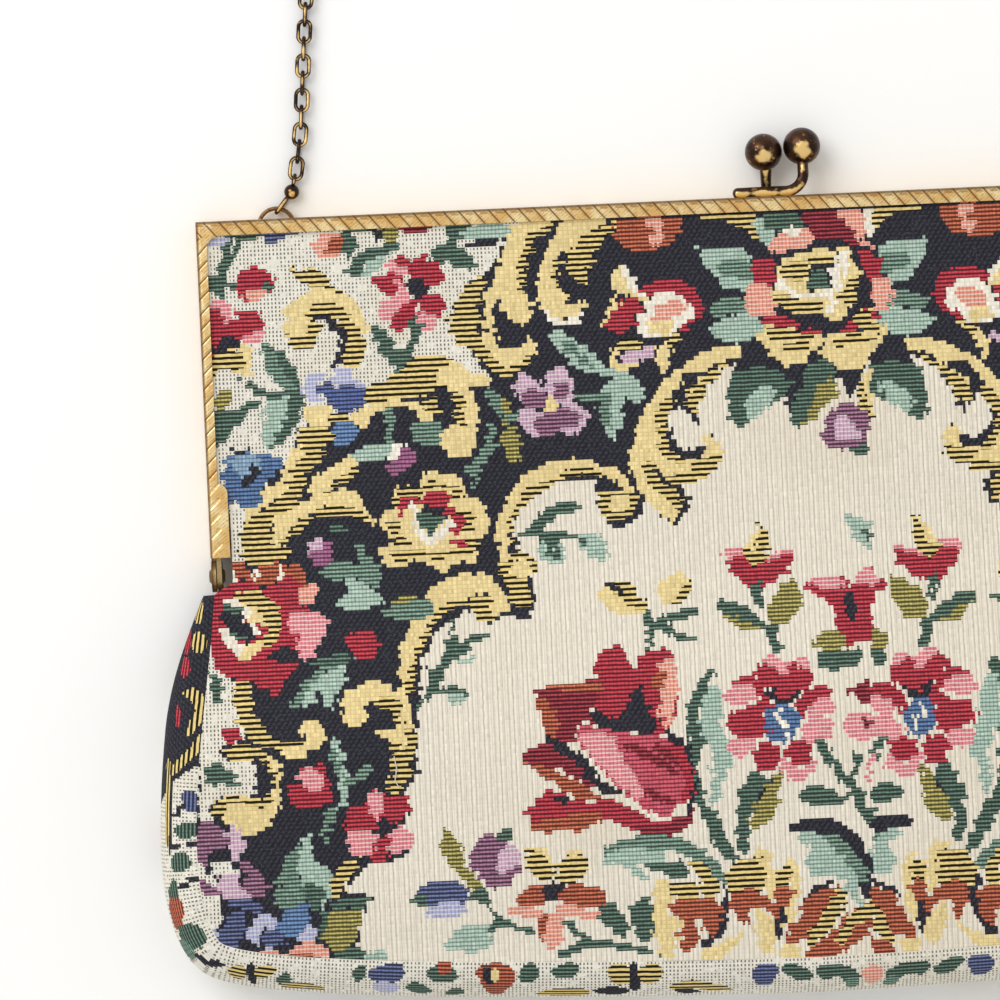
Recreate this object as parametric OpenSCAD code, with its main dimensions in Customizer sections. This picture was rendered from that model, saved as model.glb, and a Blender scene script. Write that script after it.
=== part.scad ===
// Tapestry clutch purse: a woven cloth bag held in a hinged metal frame,
// with a pair of clasp balls on the top rail and a hand chain.
// It is shut and lies on its back. X runs along the top rail, Y up to the clasp
// and Z out of the front panel. Depths are measured down from the frame's top edge.

/* [Frame] */
// Width of the frame across its arms
frame_w = 224; // [190:1:260]
// Length of the arms below the top edge
arm_len = 64; // [54:1:72]
// Height of the face along the top rail
rail_h = 2.8; // [2.4:0.1:3.4]
// Width of the face along the arms
arm_w = 2; // [1.8:0.1:2.4]
// Width of the tab at the end of each arm
tab_w = 3.8; // [3.2:0.1:4.4]
// Length of the tab at the end of each arm
tab_len = 14; // [10:1:18]
// Depth of one half of the frame
half_depth = 4.2; // [3.9:0.1:4.8]
// Gap between the halves when the frame is shut
shut_gap = 0.2; // [0.1:0.05:0.3]
// Thickness of the stamped metal
metal_t = 0.6; // [0.5:0.05:0.7]
// Radius of the rounded outer edge of each half
edge_round = 0.9; // [0.5:0.1:1.1]
// Radius of the inner corners below the top rail
corner_r = 2.5; // [1.5:0.5:9]
// Spacing of the slanted lines stamped along the frame
rope_pitch = 2.85; // [2.4:0.05:6]
// Depth of the stamped lines
rope_cut = 0.2; // [0.1:0.02:0.26]

/* [Hinge] */
// Drop of the hinge axis below the ends of the arms
hinge_drop = 3.5; // [3.4:0.1:4.2]
// Radius of the round hinge ears
ear_r = 3; // [2.6:0.1:3.1]
// Thickness of one hinge ear
ear_t = 0.9; // [0.7:0.05:1.1]
// Gap between the two ears of a hinge
ear_gap = 0.2; // [0.1:0.05:0.3]
// Diameter of the hinge pins
pin_d = 1.8; // [1.4:0.1:2.2]
// Diameter of the peened heads of the pins
pin_head_d = 3; // [2.6:0.1:3.6]
// Thickness of the peened heads
pin_head_t = 0.45; // [0.3:0.05:0.6]
// Clearance round a pin in the ear that turns on it
pin_play = 0.05; // [0.02:0.01:0.09]

/* [Clasp] */
// Diameter of the clasp balls
ball_d = 7.1; // [6:0.1:8]
// Gap between the clasp balls
ball_gap = 0.2; // [0.1:0.05:0.5]
// Height of the rear ball above the top edge
rear_ball_h = 8.6; // [7.5:0.1:10]
// Height of the front ball above the top edge
front_ball_h = 9.4; // [8:0.1:11]
// Thickness of the front clasp's bent wire
clasp_wire = 2.1; // [1.6:0.1:2.6]
// Length of the straight foot of the front clasp
foot_len = 9.1; // [7:0.1:12]
// Radius of the bend between foot and ball
bend_r = 3.5; // [2.6:0.1:4.5]

/* [Chain] */
// Distance of each bail from the middle of the frame
bail_x = 96.8; // [70:0.1:104]
// Width of a bail along the top rail
bail_w = 7.1; // [6:0.1:9]
// Height of a bail above the top rail
bail_h = 2.6; // [2.4:0.1:3.2]
// Wire of the bails and of the connector eyes
bail_wire = 0.8; // [0.6:0.05:0.9]
// Diameter of the bead on each connector
bead_d = 2.9; // [2.4:0.1:3]
// Length of a chain link
link_len = 4.9; // [4.6:0.1:6]
// Width of a chain link
link_w = 3.05; // [2.9:0.05:3.4]
// Wire of a chain link
link_wire = 0.75; // [0.6:0.05:0.8]

/* [Bag] */
// Depth of the front panel down to its bottom seam
panel_len = 144.1; // [130:0.1:170]
// Widening of the front panel beside the frame
flare = 4.5; // [2:0.5:8]
// Bulge of the gusset past the side seams
side_bulge = 7; // [4:0.5:10]
// Bulge of the gusset past the bottom seam
bottom_bulge = 7; // [3:0.2:9]
// Rise of the front panel from the frame to its fullest part
belly_rise = 13; // [9:0.5:18]
// Thickness of the woven cloth
cloth_t = 1.2; // [1:0.05:1.3]
// Thickness of the lining cloth
lining_t = 0.6; // [0.4:0.05:0.7]
// Clearance between layers of cloth and at seams
layer_gap = 0.3; // [0.2:0.05:0.4]

/* [Hidden] */
$fn = 48;

gold = [0.83, 0.68, 0.38];
bronze = [0.33, 0.24, 0.17];
tapestry = [0.86, 0.82, 0.72];
lining_cloth = [0.79, 0.72, 0.58];

// Levels through the depth of the shut frame
axis_z = half_depth + shut_gap / 2;
half_mid = shut_gap / 2 + half_depth / 2;
face_rise = shut_gap / 2 + half_depth;
face_z = axis_z + face_rise;
slot_play = 0.2;
front_cloth_z = face_z - metal_t - slot_play;
back_cloth_z = metal_t + slot_play;
back_lining_z = back_cloth_z + cloth_t + layer_gap;

// Depths below the top edge
hinge_depth = arm_len + hinge_drop;
open_angle = 55;
lap_step = cloth_t + layer_gap + 0.1;
lap_over = 0.5;
hinge_room = ear_r + 0.6;
bottom_depth = panel_len + layer_gap + bottom_bulge;

// Place of the top edge, so that Y is 0 at the middle of the whole length
top_y = (bottom_depth - front_ball_h - ball_d / 2) / 2;
hinge_y = top_y - hinge_depth;
half_w = frame_w / 2;

function ease(t) = let(u = max(0, min(1, t))) u * u * (3 - 2 * u);
function mix(a, b, t) = a + (b - a) * t;
function round_size(v) = round(v * 50) / 50;
function bezier(p, t) =
  pow(1 - t, 3) * p[0] + 3 * t * pow(1 - t, 2) * p[1]
  + 3 * t * t * (1 - t) * p[2] + pow(t, 3) * p[3];

// Frame

module window_outline() {
  inner_w = frame_w - 2 * arm_w;
  low = top_y - arm_len - 1;
  high = top_y - rail_h;
  translate([-inner_w / 2, low]) square([inner_w, high - low - corner_r]);
  translate([-inner_w / 2 + corner_r, low]) square([inner_w - 2 * corner_r, high - low]);
  for (side = [-1, 1])
    translate([side * (inner_w / 2 - corner_r), high - corner_r]) circle(corner_r);
}

// Tab with a round shoulder towards the bag
module tab_outline() {
  shoulder = tab_w - arm_w;
  translate([half_w - tab_w, top_y - arm_len]) square([tab_w, tab_len - shoulder]);
  translate([half_w - arm_w, top_y - arm_len + tab_len - shoulder]) circle(shoulder);
  translate([half_w - arm_w, top_y - arm_len]) square([arm_w, tab_len]);
}

module half_outline() {
  difference() {
    translate([-half_w, top_y - arm_len]) square([frame_w, arm_len]);
    window_outline();
  }
  tab_outline();
  mirror([1, 0]) tab_outline();
}

// Material outside the round along an edge that runs in X
module edge_cutter(length) {
  rotate([90, 0, 90]) linear_extrude(length, center = true) difference() {
    translate([-edge_round, -edge_round]) square(edge_round + 1);
    translate([-edge_round, -edge_round]) circle(edge_round);
  }
}

module rope_line(length, slant) {
  line_r = 0.6;
  translate([0, 0, line_r - rope_cut]) rotate([0, 0, slant]) rotate([90, 0, 0])
    cylinder(r = line_r, h = length, center = true);
}

// Slanted lines that make the face look like a twisted rope
module rope_lines() {
  rail_run = half_w - 2 * rope_pitch;
  for (x = [-rail_run : rope_pitch : rail_run])
    translate([x, top_y - rail_h / 2 - 0.3, face_rise]) rope_line(rail_h * 1.1, 40);
  for (side = [-1, 1], d = [corner_r + rail_h : rope_pitch : arm_len - rope_pitch / 2])
    translate([side * (half_w - arm_w / 2 - 0.3), top_y - d, face_rise]) rope_line(arm_w * 1.4, -45);
}

// One half of the frame, above the plane where the halves meet
module frame_half() {
  difference() {
    translate([0, 0, shut_gap / 2]) linear_extrude(half_depth) half_outline();
    translate([-half_w + metal_t, top_y - arm_len - 1, shut_gap / 2 + metal_t])
      cube([frame_w - 2 * metal_t, arm_len + 1 - metal_t, half_depth - 2 * metal_t]);
    translate([0, top_y, face_rise]) edge_cutter(frame_w + 2);
    for (side = [-1, 1])
      translate([side * half_w, top_y - arm_len / 2, face_rise]) rotate([0, 0, -side * 90])
        edge_cutter(arm_len + 2);
    rope_lines();
  }
}

// Ear on the right-hand arm, with its outer face at x and its bore left to right
module ear(x, bore_d) {
  root_len = hinge_drop + tab_len / 3;
  translate([x - ear_t, hinge_y, 0]) rotate([90, 0, 90]) linear_extrude(ear_t) difference() {
    union() {
      circle(ear_r);
      translate([0, shut_gap / 2]) square([root_len, ear_r - shut_gap / 2]);
    }
    circle(d = bore_d);
  }
}

module ears(inset, bore_d) {
  ear(half_w - inset, bore_d);
  mirror([1, 0, 0]) ear(half_w - inset, bore_d);
}

module rear_frame() {
  color(gold) translate([0, 0, axis_z]) mirror([0, 0, 1]) {
    frame_half();
    ears(0, pin_d);
  }
}

module front_frame() {
  color(gold) translate([0, 0, axis_z]) {
    frame_half();
    ears(ear_t + ear_gap, pin_d + 2 * pin_play);
  }
}

// Pin through both ears of the right-hand hinge, peened over at its ends
module hinge_pin() {
  stack = 2 * ear_t + ear_gap + 2 * pin_play;
  translate([half_w + pin_play, hinge_y, axis_z]) rotate([0, -90, 0]) {
    cylinder(d = pin_d, h = stack);
    translate([0, 0, -pin_head_t]) cylinder(d1 = pin_head_d * 0.7, d2 = pin_head_d, h = pin_head_t);
    translate([0, 0, stack]) cylinder(d1 = pin_head_d, d2 = pin_head_d * 0.7, h = pin_head_t);
  }
}

module hinge_pin_right() { color(gold) hinge_pin(); }
module hinge_pin_left() { color(gold) mirror([1, 0, 0]) hinge_pin(); }

// Clasp

foot_seat = clasp_wire * 0.4;
front_ball_x = 4;
rear_ball_x = front_ball_x - ball_d - ball_gap;
clasp_lean = 12;

// Everything below the top edge, to give a piece a flat seat on the rail
module below_top_edge() {
  translate([-half_w, top_y - 20, -20]) cube([frame_w, 20, 60]);
}

// Ball on a wire that bends down into a foot along the top rail
module front_clasp() {
  rise = (front_ball_h - foot_seat) / cos(clasp_lean);
  color(bronze) difference() {
    translate([front_ball_x - bend_r, top_y + foot_seat, axis_z + half_mid]) rotate([-clasp_lean, 0, 0]) {
      rotate([0, -90, 0]) cylinder(d = clasp_wire, h = foot_len);
      translate([-foot_len, 0, 0]) sphere(d = clasp_wire);
      translate([0, bend_r, 0]) rotate([0, 0, -90]) rotate_extrude(angle = 90)
        translate([bend_r, 0]) circle(d = clasp_wire);
      translate([bend_r, bend_r, 0]) rotate([-90, 0, 0]) cylinder(d = clasp_wire, h = rise - bend_r);
      translate([bend_r, rise, 0]) sphere(d = ball_d);
    }
    below_top_edge();
  }
}

// Ball on a tapered stem that stands on the rear half
module rear_clasp() {
  floor_play = 0.1;
  ball_z = max(axis_z - 4 * floor_play, ball_d / 2 + floor_play);
  foot_z = axis_z - half_mid;
  tilt = atan2(ball_z - foot_z, rear_ball_h);
  sunk = 2;
  foot_r = 0.8;
  neck_r = 1.25;
  ball_shift = 0.3;
  color(bronze) difference() {
    translate([rear_ball_x + ball_shift, top_y, foot_z]) rotate([tilt - 90, 0, 0]) {
      translate([0, 0, -sunk]) cylinder(r1 = foot_r, r2 = neck_r, h = sunk + rear_ball_h);
      translate([-ball_shift, 0, rear_ball_h / cos(tilt)]) sphere(d = ball_d);
    }
    below_top_edge();
  }
}

// Chain

chain_z = link_w / 2 + 0.02;
bail_chord = bail_w - bail_wire;
bail_sag = bail_h - bail_wire / 2;
bail_r = (bail_chord * bail_chord / 4 + bail_sag * bail_sag) / (2 * bail_sag);
bail_centre = [bail_x, top_y + bail_sag - bail_r];
bail_seat_angle = 12;
wire_play = 0.03;

// Point of the right-hand bail that carries the connector's eye
hook = bail_centre + bail_r * [-sin(bail_seat_angle), cos(bail_seat_angle)];
bead = hook + [-2.5, 3.1];
route_start = [92.2, top_y + 10.9];
onward_unit = (route_start - bead) / norm(route_start - bead);
ring_r = 0.95;
ring_wire = 0.7;
ring_sunk = 0.1;
ring_reach = bead_d / 2 + ring_r - ring_sunk;

// Wire arch soldered to the top of the rear half
module bail() {
  half_angle = 100;
  difference() {
    translate([bail_centre[0], bail_centre[1], chain_z]) rotate([0, 0, 90 - half_angle])
      rotate_extrude(angle = 2 * half_angle) translate([bail_r, 0]) circle(d = bail_wire);
    below_top_edge();
  }
}

module bail_right() { color(gold) bail(); }
module bail_left() { color(gold) mirror([1, 0, 0]) bail(); }

// Oval of round wire in the XY plane, with its length along X
module wire_oval(length, width, wire) {
  bow = (width - wire) / 2;
  straight = length - width;
  for (side = [-1, 1]) {
    translate([side * straight / 2, 0, 0]) rotate([0, 0, -side * 90]) rotate_extrude(angle = 180)
      translate([bow, 0]) circle(d = wire);
    translate([-straight / 2, side * bow, 0]) rotate([0, 90, 0]) cylinder(d = wire, h = straight);
  }
}

// Eye on the bail, bead, and ring that takes the first link
module connector() {
  along = bead - hook;
  reach = norm(along);
  eye_w = 2 * chain_z - 0.1;
  eye_low = bail_wire / 2 + 4 * wire_play;
  eye_len = eye_w + round_size(reach + eye_low + bail_wire - bead_d / 4 - eye_w);
  eye = hook + along / reach * (eye_len / 2 - eye_low - bail_wire);
  ring = bead + onward_unit * ring_reach;
  translate([eye[0], eye[1], chain_z]) rotate([90, 0, atan2(along[1], along[0])])
    wire_oval(eye_len, eye_w, bail_wire);
  translate([bead[0], bead[1], chain_z]) sphere(d = bead_d);
  translate([ring[0], ring[1], chain_z]) rotate([90, 0, atan2(onward_unit[1], onward_unit[0])])
    rotate_extrude() translate([ring_r, 0]) circle(d = ring_wire);
}

module chain_end_right() { color(bronze) connector(); }
module chain_end_left() { color(bronze) mirror([1, 0, 0]) connector(); }

// Route of the chain over the table, as [x, height above the top edge], chosen by hand
route_left = [[-91.4, 16.8], [-90.6, 26], [-89.6, 38], [-88.2, 52], [-85.6, 70],
  [-80, 89], [-69, 107], [-52, 120], [-30, 128]];
first_link = bead + onward_unit
  * (ring_reach + ring_r - ring_wire / 2 - link_wire / 2 - wire_play + (link_len - link_wire) / 2);
route = concat(
  [[-first_link[0], first_link[1]]],
  [for (p = route_left) [p[0], top_y + p[1]]],
  [[0, top_y + 131]],
  [for (i = [len(route_left) - 1 : -1 : 0]) [-route_left[i][0], top_y + route_left[i][1]]],
  [first_link]
);

// Smooth curve through the points of the route
route_steps = 16;
function route_at(i, t) =
  let(last = len(route) - 1,
      a = route[max(i - 1, 0)], b = route[i], c = route[i + 1], d = route[min(i + 2, last)])
  0.5 * (2 * b + (c - a) * t + (2 * a - 5 * b + 4 * c - d) * t * t
    + (3 * b - a - 3 * c + d) * t * t * t);
curve = concat(
  [for (i = [0 : len(route) - 2], k = [0 : route_steps - 1]) route_at(i, k / route_steps)],
  [route[len(route) - 1]]
);
curve_run = [for (i = 0, s = 0; i < len(curve);
  s = s + (i + 1 < len(curve) ? norm(curve[i + 1] - curve[i]) : 0), i = i + 1) s];
chain_len = curve_run[len(curve_run) - 1];
curve_x = [for (i = [0 : len(curve) - 1]) [curve_run[i], curve[i][0]]];
curve_y = [for (i = [0 : len(curve) - 1]) [curve_run[i], curve[i][1]]];
function along_chain(s) = [lookup(s, curve_x), lookup(s, curve_y)];

link_slack = 0.15;
link_gaps = 2 * round(chain_len / (link_len - 2 * link_wire - link_slack) / 2);
link_pitch = chain_len / link_gaps;

// Interlocked links, turned a quarter turn from each to the next
module chain() {
  color(bronze) for (i = [0 : link_gaps]) {
    here = along_chain(i * link_pitch);
    way = along_chain(min(i + 0.5, link_gaps) * link_pitch) - along_chain(max(i - 0.5, 0) * link_pitch);
    translate([here[0], here[1], chain_z]) rotate([90 * (i % 2), 0, atan2(way[1], way[0])])
      wire_oval(link_len, link_w, link_wire);
  }
}

// Bag

// Height of the front panel's outside over the table, at distance x from the middle:
// it rises a little within the frame, fully below the hinges, and tucks in at the bottom
rise_in_frame = 0.32;
rise_start = 10;
rise_run = 0.55;
tuck = 0.12;
tuck_run = 16;
arm_reach = 30;
hinge_reach = 38;
function belly(d) = belly_rise * (
  rise_in_frame * ease(d / hinge_depth)
  + (1 - rise_in_frame)
    * ease((d - hinge_depth + rise_start) / (rise_run * (panel_len - hinge_depth) + rise_start))
  - tuck * ease((d - panel_len + tuck_run) / tuck_run));
function free_of_arms(x, d) = mix(
  ease((half_w - tab_w - abs(x)) / arm_reach), 1, ease((d - hinge_depth) / hinge_reach));
function front_z(x, d) = front_cloth_z + belly(d) * free_of_arms(x, d);

// The upper part steps in at the fold, under the edge of the lower part. Its overlap
// is kept so short that the two parts pass each other as the frame opens.
lap_start = 12;
lap_run = 11;
lap_play = 0.4;
function upper_z(x, d) = front_z(x, d) - lap_step * ease((d - hinge_depth + lap_start) / lap_run);
function fold_lap(x) = tan(open_angle / 2) * (upper_z(x, hinge_depth) - axis_z) + lap_play;
function lower_edge(x) = hinge_depth
  + max(fold_lap(x), hinge_room * ease((abs(x) - half_w + 2 * ear_r + 2) / 4));
function upper_edge(x) = hinge_depth + fold_lap(x) + lap_over;

// Seam round the lower part: down one side to the corner, then along the bottom.
// These are curve handles, chosen by hand.
function side_curve(inset) = [
  [half_w - 0.4 - inset, hinge_depth + hinge_room],
  [half_w + 0.35 * flare - inset, hinge_depth + hinge_room + 22],
  [half_w + 1.9 * flare - inset, panel_len - 18.5],
  [half_w + 0.2 * flare - 0.7 * inset, panel_len - 7.9 - 0.7 * inset]
];
function bottom_curve(inset) = [
  side_curve(inset)[3],
  [half_w - 5, panel_len - 3.3 - inset],
  [half_w * 0.46, panel_len - 0.7 - inset],
  [0, panel_len - inset]
];
function mirrored(p) = [-p[0], p[1]];

// Closed solid between two grids of points of the same size, in the same order
module slab(upper, lower) {
  rows = len(upper);
  cols = len(upper[0]);
  half = rows * cols;
  points = concat([for (r = upper) each r], [for (r = lower) each r]);
  faces = concat(
    [for (r = [0 : rows - 2], c = [0 : cols - 2]) let(a = r * cols + c)
      each [[a, a + 1, a + cols + 1], [a, a + cols + 1, a + cols]]],
    [for (r = [0 : rows - 2], c = [0 : cols - 2]) let(a = half + r * cols + c)
      each [[a, a + cols + 1, a + 1], [a, a + cols, a + cols + 1]]],
    [for (c = [0 : cols - 2], end = [0, rows - 1]) let(a = end * cols + c)
      each (end == 0 ? [[a, half + a, half + a + 1], [a, half + a + 1, a + 1]]
        : [[a, half + a + 1, half + a], [a, a + 1, half + a + 1]])],
    [for (r = [0 : rows - 2], end = [0, cols - 1]) let(a = r * cols + end)
      each (end == 0 ? [[a, half + a + cols, half + a], [a, a + cols, half + a + cols]]
        : [[a, half + a, half + a + cols], [a, half + a + cols, a + cols]])]
  );
  polyhedron(points, faces);
}

// Half width of the upper cloth: in the arms' channel, then clear of the tabs and hinges
hinge_stack = 2 * ear_t + ear_gap + 2 * pin_play + pin_head_t;
function upper_half_w(d, inset) = half_w - inset - layer_gap
  - mix(metal_t, max(tab_w, hinge_stack), ease((d - arm_len + tab_len / 2 + 6) / 5));

module upper_cloth(drop, thickness, inset, short, rows, cols) {
  top = metal_t + layer_gap;
  grid = [for (r = [0 : rows]) [for (c = [0 : cols])
    let(across = 2 * c / cols - 1,
        end = upper_edge(across * upper_half_w(hinge_depth, inset)) - short,
        d = mix(top, end, r / rows),
        x = across * upper_half_w(d, inset))
    [x, top_y - d, upper_z(x, d) - drop]]];
  slab(grid, [for (row = grid) [for (p = row) p - [0, 0, thickness]]]);
}

// Point of the lower part, from side to side (u = -1 to 1) and from top to bottom (v = 0 to 1)
function lower_point(u, v, inset, start) =
  let(side = side_curve(inset),
      low = bottom_curve(inset),
      right = bezier(side, mix(start, 1, v)),
      top_right = bezier(side, start),
      end_right = side[3],
      top_x = u * top_right[0],
      top = [top_x, top_right[1] + lower_edge(top_x) - lower_edge(half_w)],
      foot = bezier(low, 1 - abs(u)),
      bottom = u < 0 ? mirrored(foot) : foot,
      share = (1 + u) / 2)
  mix(top, bottom, v) + mix(mirrored(right), right, share)
    - mix(mix(mirrored(top_right), top_right, share), mix(mirrored(end_right), end_right, share), v);

module lower_cloth(drop, thickness, inset, start, rows, cols) {
  grid = [for (r = [0 : rows]) [for (c = [0 : cols])
    let(p = lower_point(2 * c / cols - 1, r / rows, inset, start))
    [p[0], top_y - p[1], front_z(p[0], p[1]) - drop]]];
  slab(grid, [for (row = grid) [for (p = row) p - [0, 0, thickness]]]);
}

module front_panel_upper() {
  color(tapestry) upper_cloth(0, cloth_t, 0, 0, 14, 28);
}

module front_panel_lower() { color(tapestry) lower_cloth(0, cloth_t, 0, 0, 15, 32); }

module lining_front_upper() {
  color(lining_cloth) upper_cloth(cloth_t + 1.5 * layer_gap, lining_t, 0.6, 6, 11, 20);
}

module lining_front_lower() {
  color(lining_cloth) lower_cloth(cloth_t + 2.5 * layer_gap, lining_t, lining_t + layer_gap, 0.22, 11, 28);
}

// Seam points from the left hinge round the bottom to the right hinge
seam_steps = 14;
function seam(inset) =
  let(side = [for (k = [0 : seam_steps]) bezier(side_curve(inset), k / seam_steps)],
      low = [for (k = [1 : seam_steps]) bezier(bottom_curve(inset), k / seam_steps)],
      right = concat(side, low))
  concat([for (p = right) mirrored(p)], [for (k = [len(right) - 2 : -1 : 0]) right[k]]);

// The gusset swells from the hinges down, and less along the bottom than at the sides
swell_start = 2;
swell_run = 32;
corner_start = 9;
corner_run = 5;
least_bulge = 0.25;
function bulge(p) = mix(
  side_bulge * sin(90 * min(1, (p[1] - hinge_depth + swell_start) / swell_run)), bottom_bulge,
  ease((p[1] - panel_len + corner_start) / corner_run));

// Strip swept along the seam, bowed outwards from the front panel down to a level at the back
module bowed_strip(drop, low, thickness, inset) {
  path = seam(inset);
  last = len(path) - 1;
  arc_steps = 8;
  bow = [for (i = [0 : last])
    let(p = path[i],
        ahead = path[min(i + 1, last)] - path[max(i - 1, 0)],
        way = ahead / norm(ahead),
        out = i == 0 ? [-1, 0] : i == last ? [1, 0] : [-way[1], way[0]],
        high = front_z(p[0], p[1]) - drop)
    [p, out, high]];
  function ring(deep) = [for (b = bow) [for (k = [0 : arc_steps])
    let(turn = 180 * k / arc_steps,
        reach = max(bulge(b[0]) - drop - deep, least_bulge) * sin(turn) + layer_gap,
        p = b[0] + b[1] * reach)
    [p[0], top_y - p[1], (b[2] + low) / 2 + ((b[2] - low) / 2 - deep) * cos(turn)]]];
  slab(ring(0), ring(thickness));
}

module gusset() { color(tapestry) bowed_strip(0, 0, cloth_t, 0); }

module lining_gusset() {
  color(lining_cloth)
    bowed_strip(cloth_t + layer_gap, back_lining_z, lining_t, 2 * layer_gap);
}

// Outline of the back: in the arms' channel, clear of the hinges, then round the seam
module back_outline(inset) {
  below_hinge = hinge_depth + ear_r + 1;
  right = concat(
    [for (d = [metal_t + layer_gap, arm_len - tab_len, arm_len - tab_len / 2, below_hinge])
      [upper_half_w(d, inset), d]],
    [for (p = seam(inset)) if (p[0] > 0 && p[1] > below_hinge) p]
  );
  ordered = concat([for (k = [0 : 3]) right[k]], [for (k = [len(right) - 1 : -1 : 4]) right[k]]);
  polygon([for (p = concat(ordered, [[0, panel_len - inset]],
    [for (k = [len(ordered) - 1 : -1 : 0]) mirrored(ordered[k])])) [p[0], top_y - p[1]]]);
}

module back_panel() {
  color(tapestry) translate([0, 0, back_cloth_z]) linear_extrude(cloth_t) back_outline(0);
}

module lining_back() {
  color(lining_cloth) translate([0, 0, back_lining_z]) linear_extrude(lining_t)
    back_outline(lining_t + layer_gap);
}

rear_frame();
front_frame();
hinge_pin_left();
hinge_pin_right();
rear_clasp();
front_clasp();
bail_left();
bail_right();
chain_end_left();
chain_end_right();
chain();
front_panel_upper();
front_panel_lower();
back_panel();
gusset();
lining_front_upper();
lining_front_lower();
lining_back();
lining_gusset();
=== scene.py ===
"""Looks of the tapestry clutch purse: metals, woven cloth and the photo's table and light."""
import math

import bpy
import numpy as np
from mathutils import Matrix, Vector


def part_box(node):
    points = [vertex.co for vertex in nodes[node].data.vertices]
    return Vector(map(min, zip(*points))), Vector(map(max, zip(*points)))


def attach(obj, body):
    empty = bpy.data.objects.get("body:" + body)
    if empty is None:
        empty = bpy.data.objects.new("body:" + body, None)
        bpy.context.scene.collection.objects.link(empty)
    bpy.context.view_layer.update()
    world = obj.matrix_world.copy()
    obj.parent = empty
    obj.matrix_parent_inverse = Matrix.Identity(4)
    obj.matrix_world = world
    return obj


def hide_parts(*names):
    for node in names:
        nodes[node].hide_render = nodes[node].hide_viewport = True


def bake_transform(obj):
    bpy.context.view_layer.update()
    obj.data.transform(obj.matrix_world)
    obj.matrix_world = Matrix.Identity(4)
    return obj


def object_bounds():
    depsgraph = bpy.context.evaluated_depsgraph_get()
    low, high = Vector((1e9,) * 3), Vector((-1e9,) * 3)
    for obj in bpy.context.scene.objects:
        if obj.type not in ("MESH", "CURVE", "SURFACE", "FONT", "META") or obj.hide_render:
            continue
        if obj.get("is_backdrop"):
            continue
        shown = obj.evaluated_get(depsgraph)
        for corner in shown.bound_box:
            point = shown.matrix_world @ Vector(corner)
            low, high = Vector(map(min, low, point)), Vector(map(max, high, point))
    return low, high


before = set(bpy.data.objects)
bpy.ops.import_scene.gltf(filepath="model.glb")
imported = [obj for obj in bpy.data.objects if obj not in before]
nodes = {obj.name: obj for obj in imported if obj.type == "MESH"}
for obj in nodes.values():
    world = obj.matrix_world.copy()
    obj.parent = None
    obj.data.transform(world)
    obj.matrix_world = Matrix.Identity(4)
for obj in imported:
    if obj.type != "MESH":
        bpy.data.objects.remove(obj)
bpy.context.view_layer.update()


# Metal frame. Two halves stamped from thin gilt sheet, with slanting rope lines rolled into the rail and
# the arms. The gilding is bright on the flats and has gone brown in the lines. Painted shade darkens the
# rounded outer edge.

rail_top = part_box("rear_frame")[1].y
half_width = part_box("rear_frame")[1].x
rope_pitch = 0.00285
strand_pitch = rope_pitch * 0.31
rail_depth = 0.0031
arm_middle = 0.1107
tab_start = 0.0495
ears_start = 0.0636


def linear(code):
    shades = [int(code[i:i + 2], 16) / 255 for i in (0, 2, 4)]
    return [s / 12.92 if s <= 0.04045 else ((s + 0.055) / 1.055) ** 2.4 for s in shades]


def add(tree, kind, *feeds, **settings):
    node = tree.nodes.new(kind)
    for name, value in settings.items():
        setattr(node, name, value)
    for place, feed in enumerate(feeds):
        if feed is None:
            continue
        if isinstance(feed, bpy.types.NodeSocket):
            tree.links.new(feed, node.inputs[place])
        else:
            node.inputs[place].default_value = feed
    return node


def calc(tree, operation, a, b=None, c=None):
    return add(tree, "ShaderNodeMath", a, b, c, operation=operation).outputs[0]


def blend(tree, share, first, second):
    node = tree.nodes.new("ShaderNodeMix")
    node.data_type = "RGBA"
    for socket, feed in zip((node.inputs[0], node.inputs[6], node.inputs[7]), (share, first, second)):
        if isinstance(feed, bpy.types.NodeSocket):
            tree.links.new(feed, socket)
        else:
            socket.default_value = feed if isinstance(feed, float) else (*feed, 1)
    return node.outputs[2]


def fade(tree, value, low, high):
    node = add(tree, "ShaderNodeMapRange", value, low, high, interpolation_type="SMOOTHSTEP")
    return node.outputs[0]


def near_line(tree, run):
    # 1 on the line, 0 halfway to the next one
    part = calc(tree, "FRACT", calc(tree, "ADD", run, 500.5))
    return calc(tree, "SUBTRACT", 1.0, calc(tree, "MULTIPLY", calc(tree, "ABSOLUTE", calc(
        tree, "SUBTRACT", part, 0.5)), 2.0))


def start_finish(name):
    material = bpy.data.materials.new(name)
    material.use_nodes = True
    return material, material.node_tree.nodes["Principled BSDF"]


def dress(names, material):
    for name in names:
        nodes[name].data.materials.clear()
        nodes[name].data.materials.append(material)


gilt, surface = start_finish("gilt")
tree = gilt.node_tree
place = add(tree, "ShaderNodeTexCoord").outputs["Object"]
across, up = add(tree, "ShaderNodeSeparateXYZ", place).outputs[:2]
side = calc(tree, "ABSOLUTE", across)
depth = calc(tree, "SUBTRACT", rail_top, up)
on_rail = calc(tree, "LESS_THAN", depth, rail_depth)
on_tab = calc(tree, "GREATER_THAN", depth, tab_start)
rail_run = calc(tree, "DIVIDE", calc(tree, "SUBTRACT", calc(tree, "ADD", across, half_width),
                                     calc(tree, "MULTIPLY", depth, 0.84)), rope_pitch)
rail_line = near_line(tree, calc(tree, "ADD", rail_run, -1.5))
from_arm = calc(tree, "SUBTRACT", across, calc(tree, "MULTIPLY", calc(tree, "SIGN", across), arm_middle))
arm_run = calc(tree, "ADD", calc(tree, "ADD", depth, from_arm), -0.0053)
arm_line = near_line(tree, calc(tree, "DIVIDE", arm_run, rope_pitch))
rail_mark = calc(tree, "MULTIPLY", fade(tree, rail_line, 0.80, 0.95), on_rail)
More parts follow.
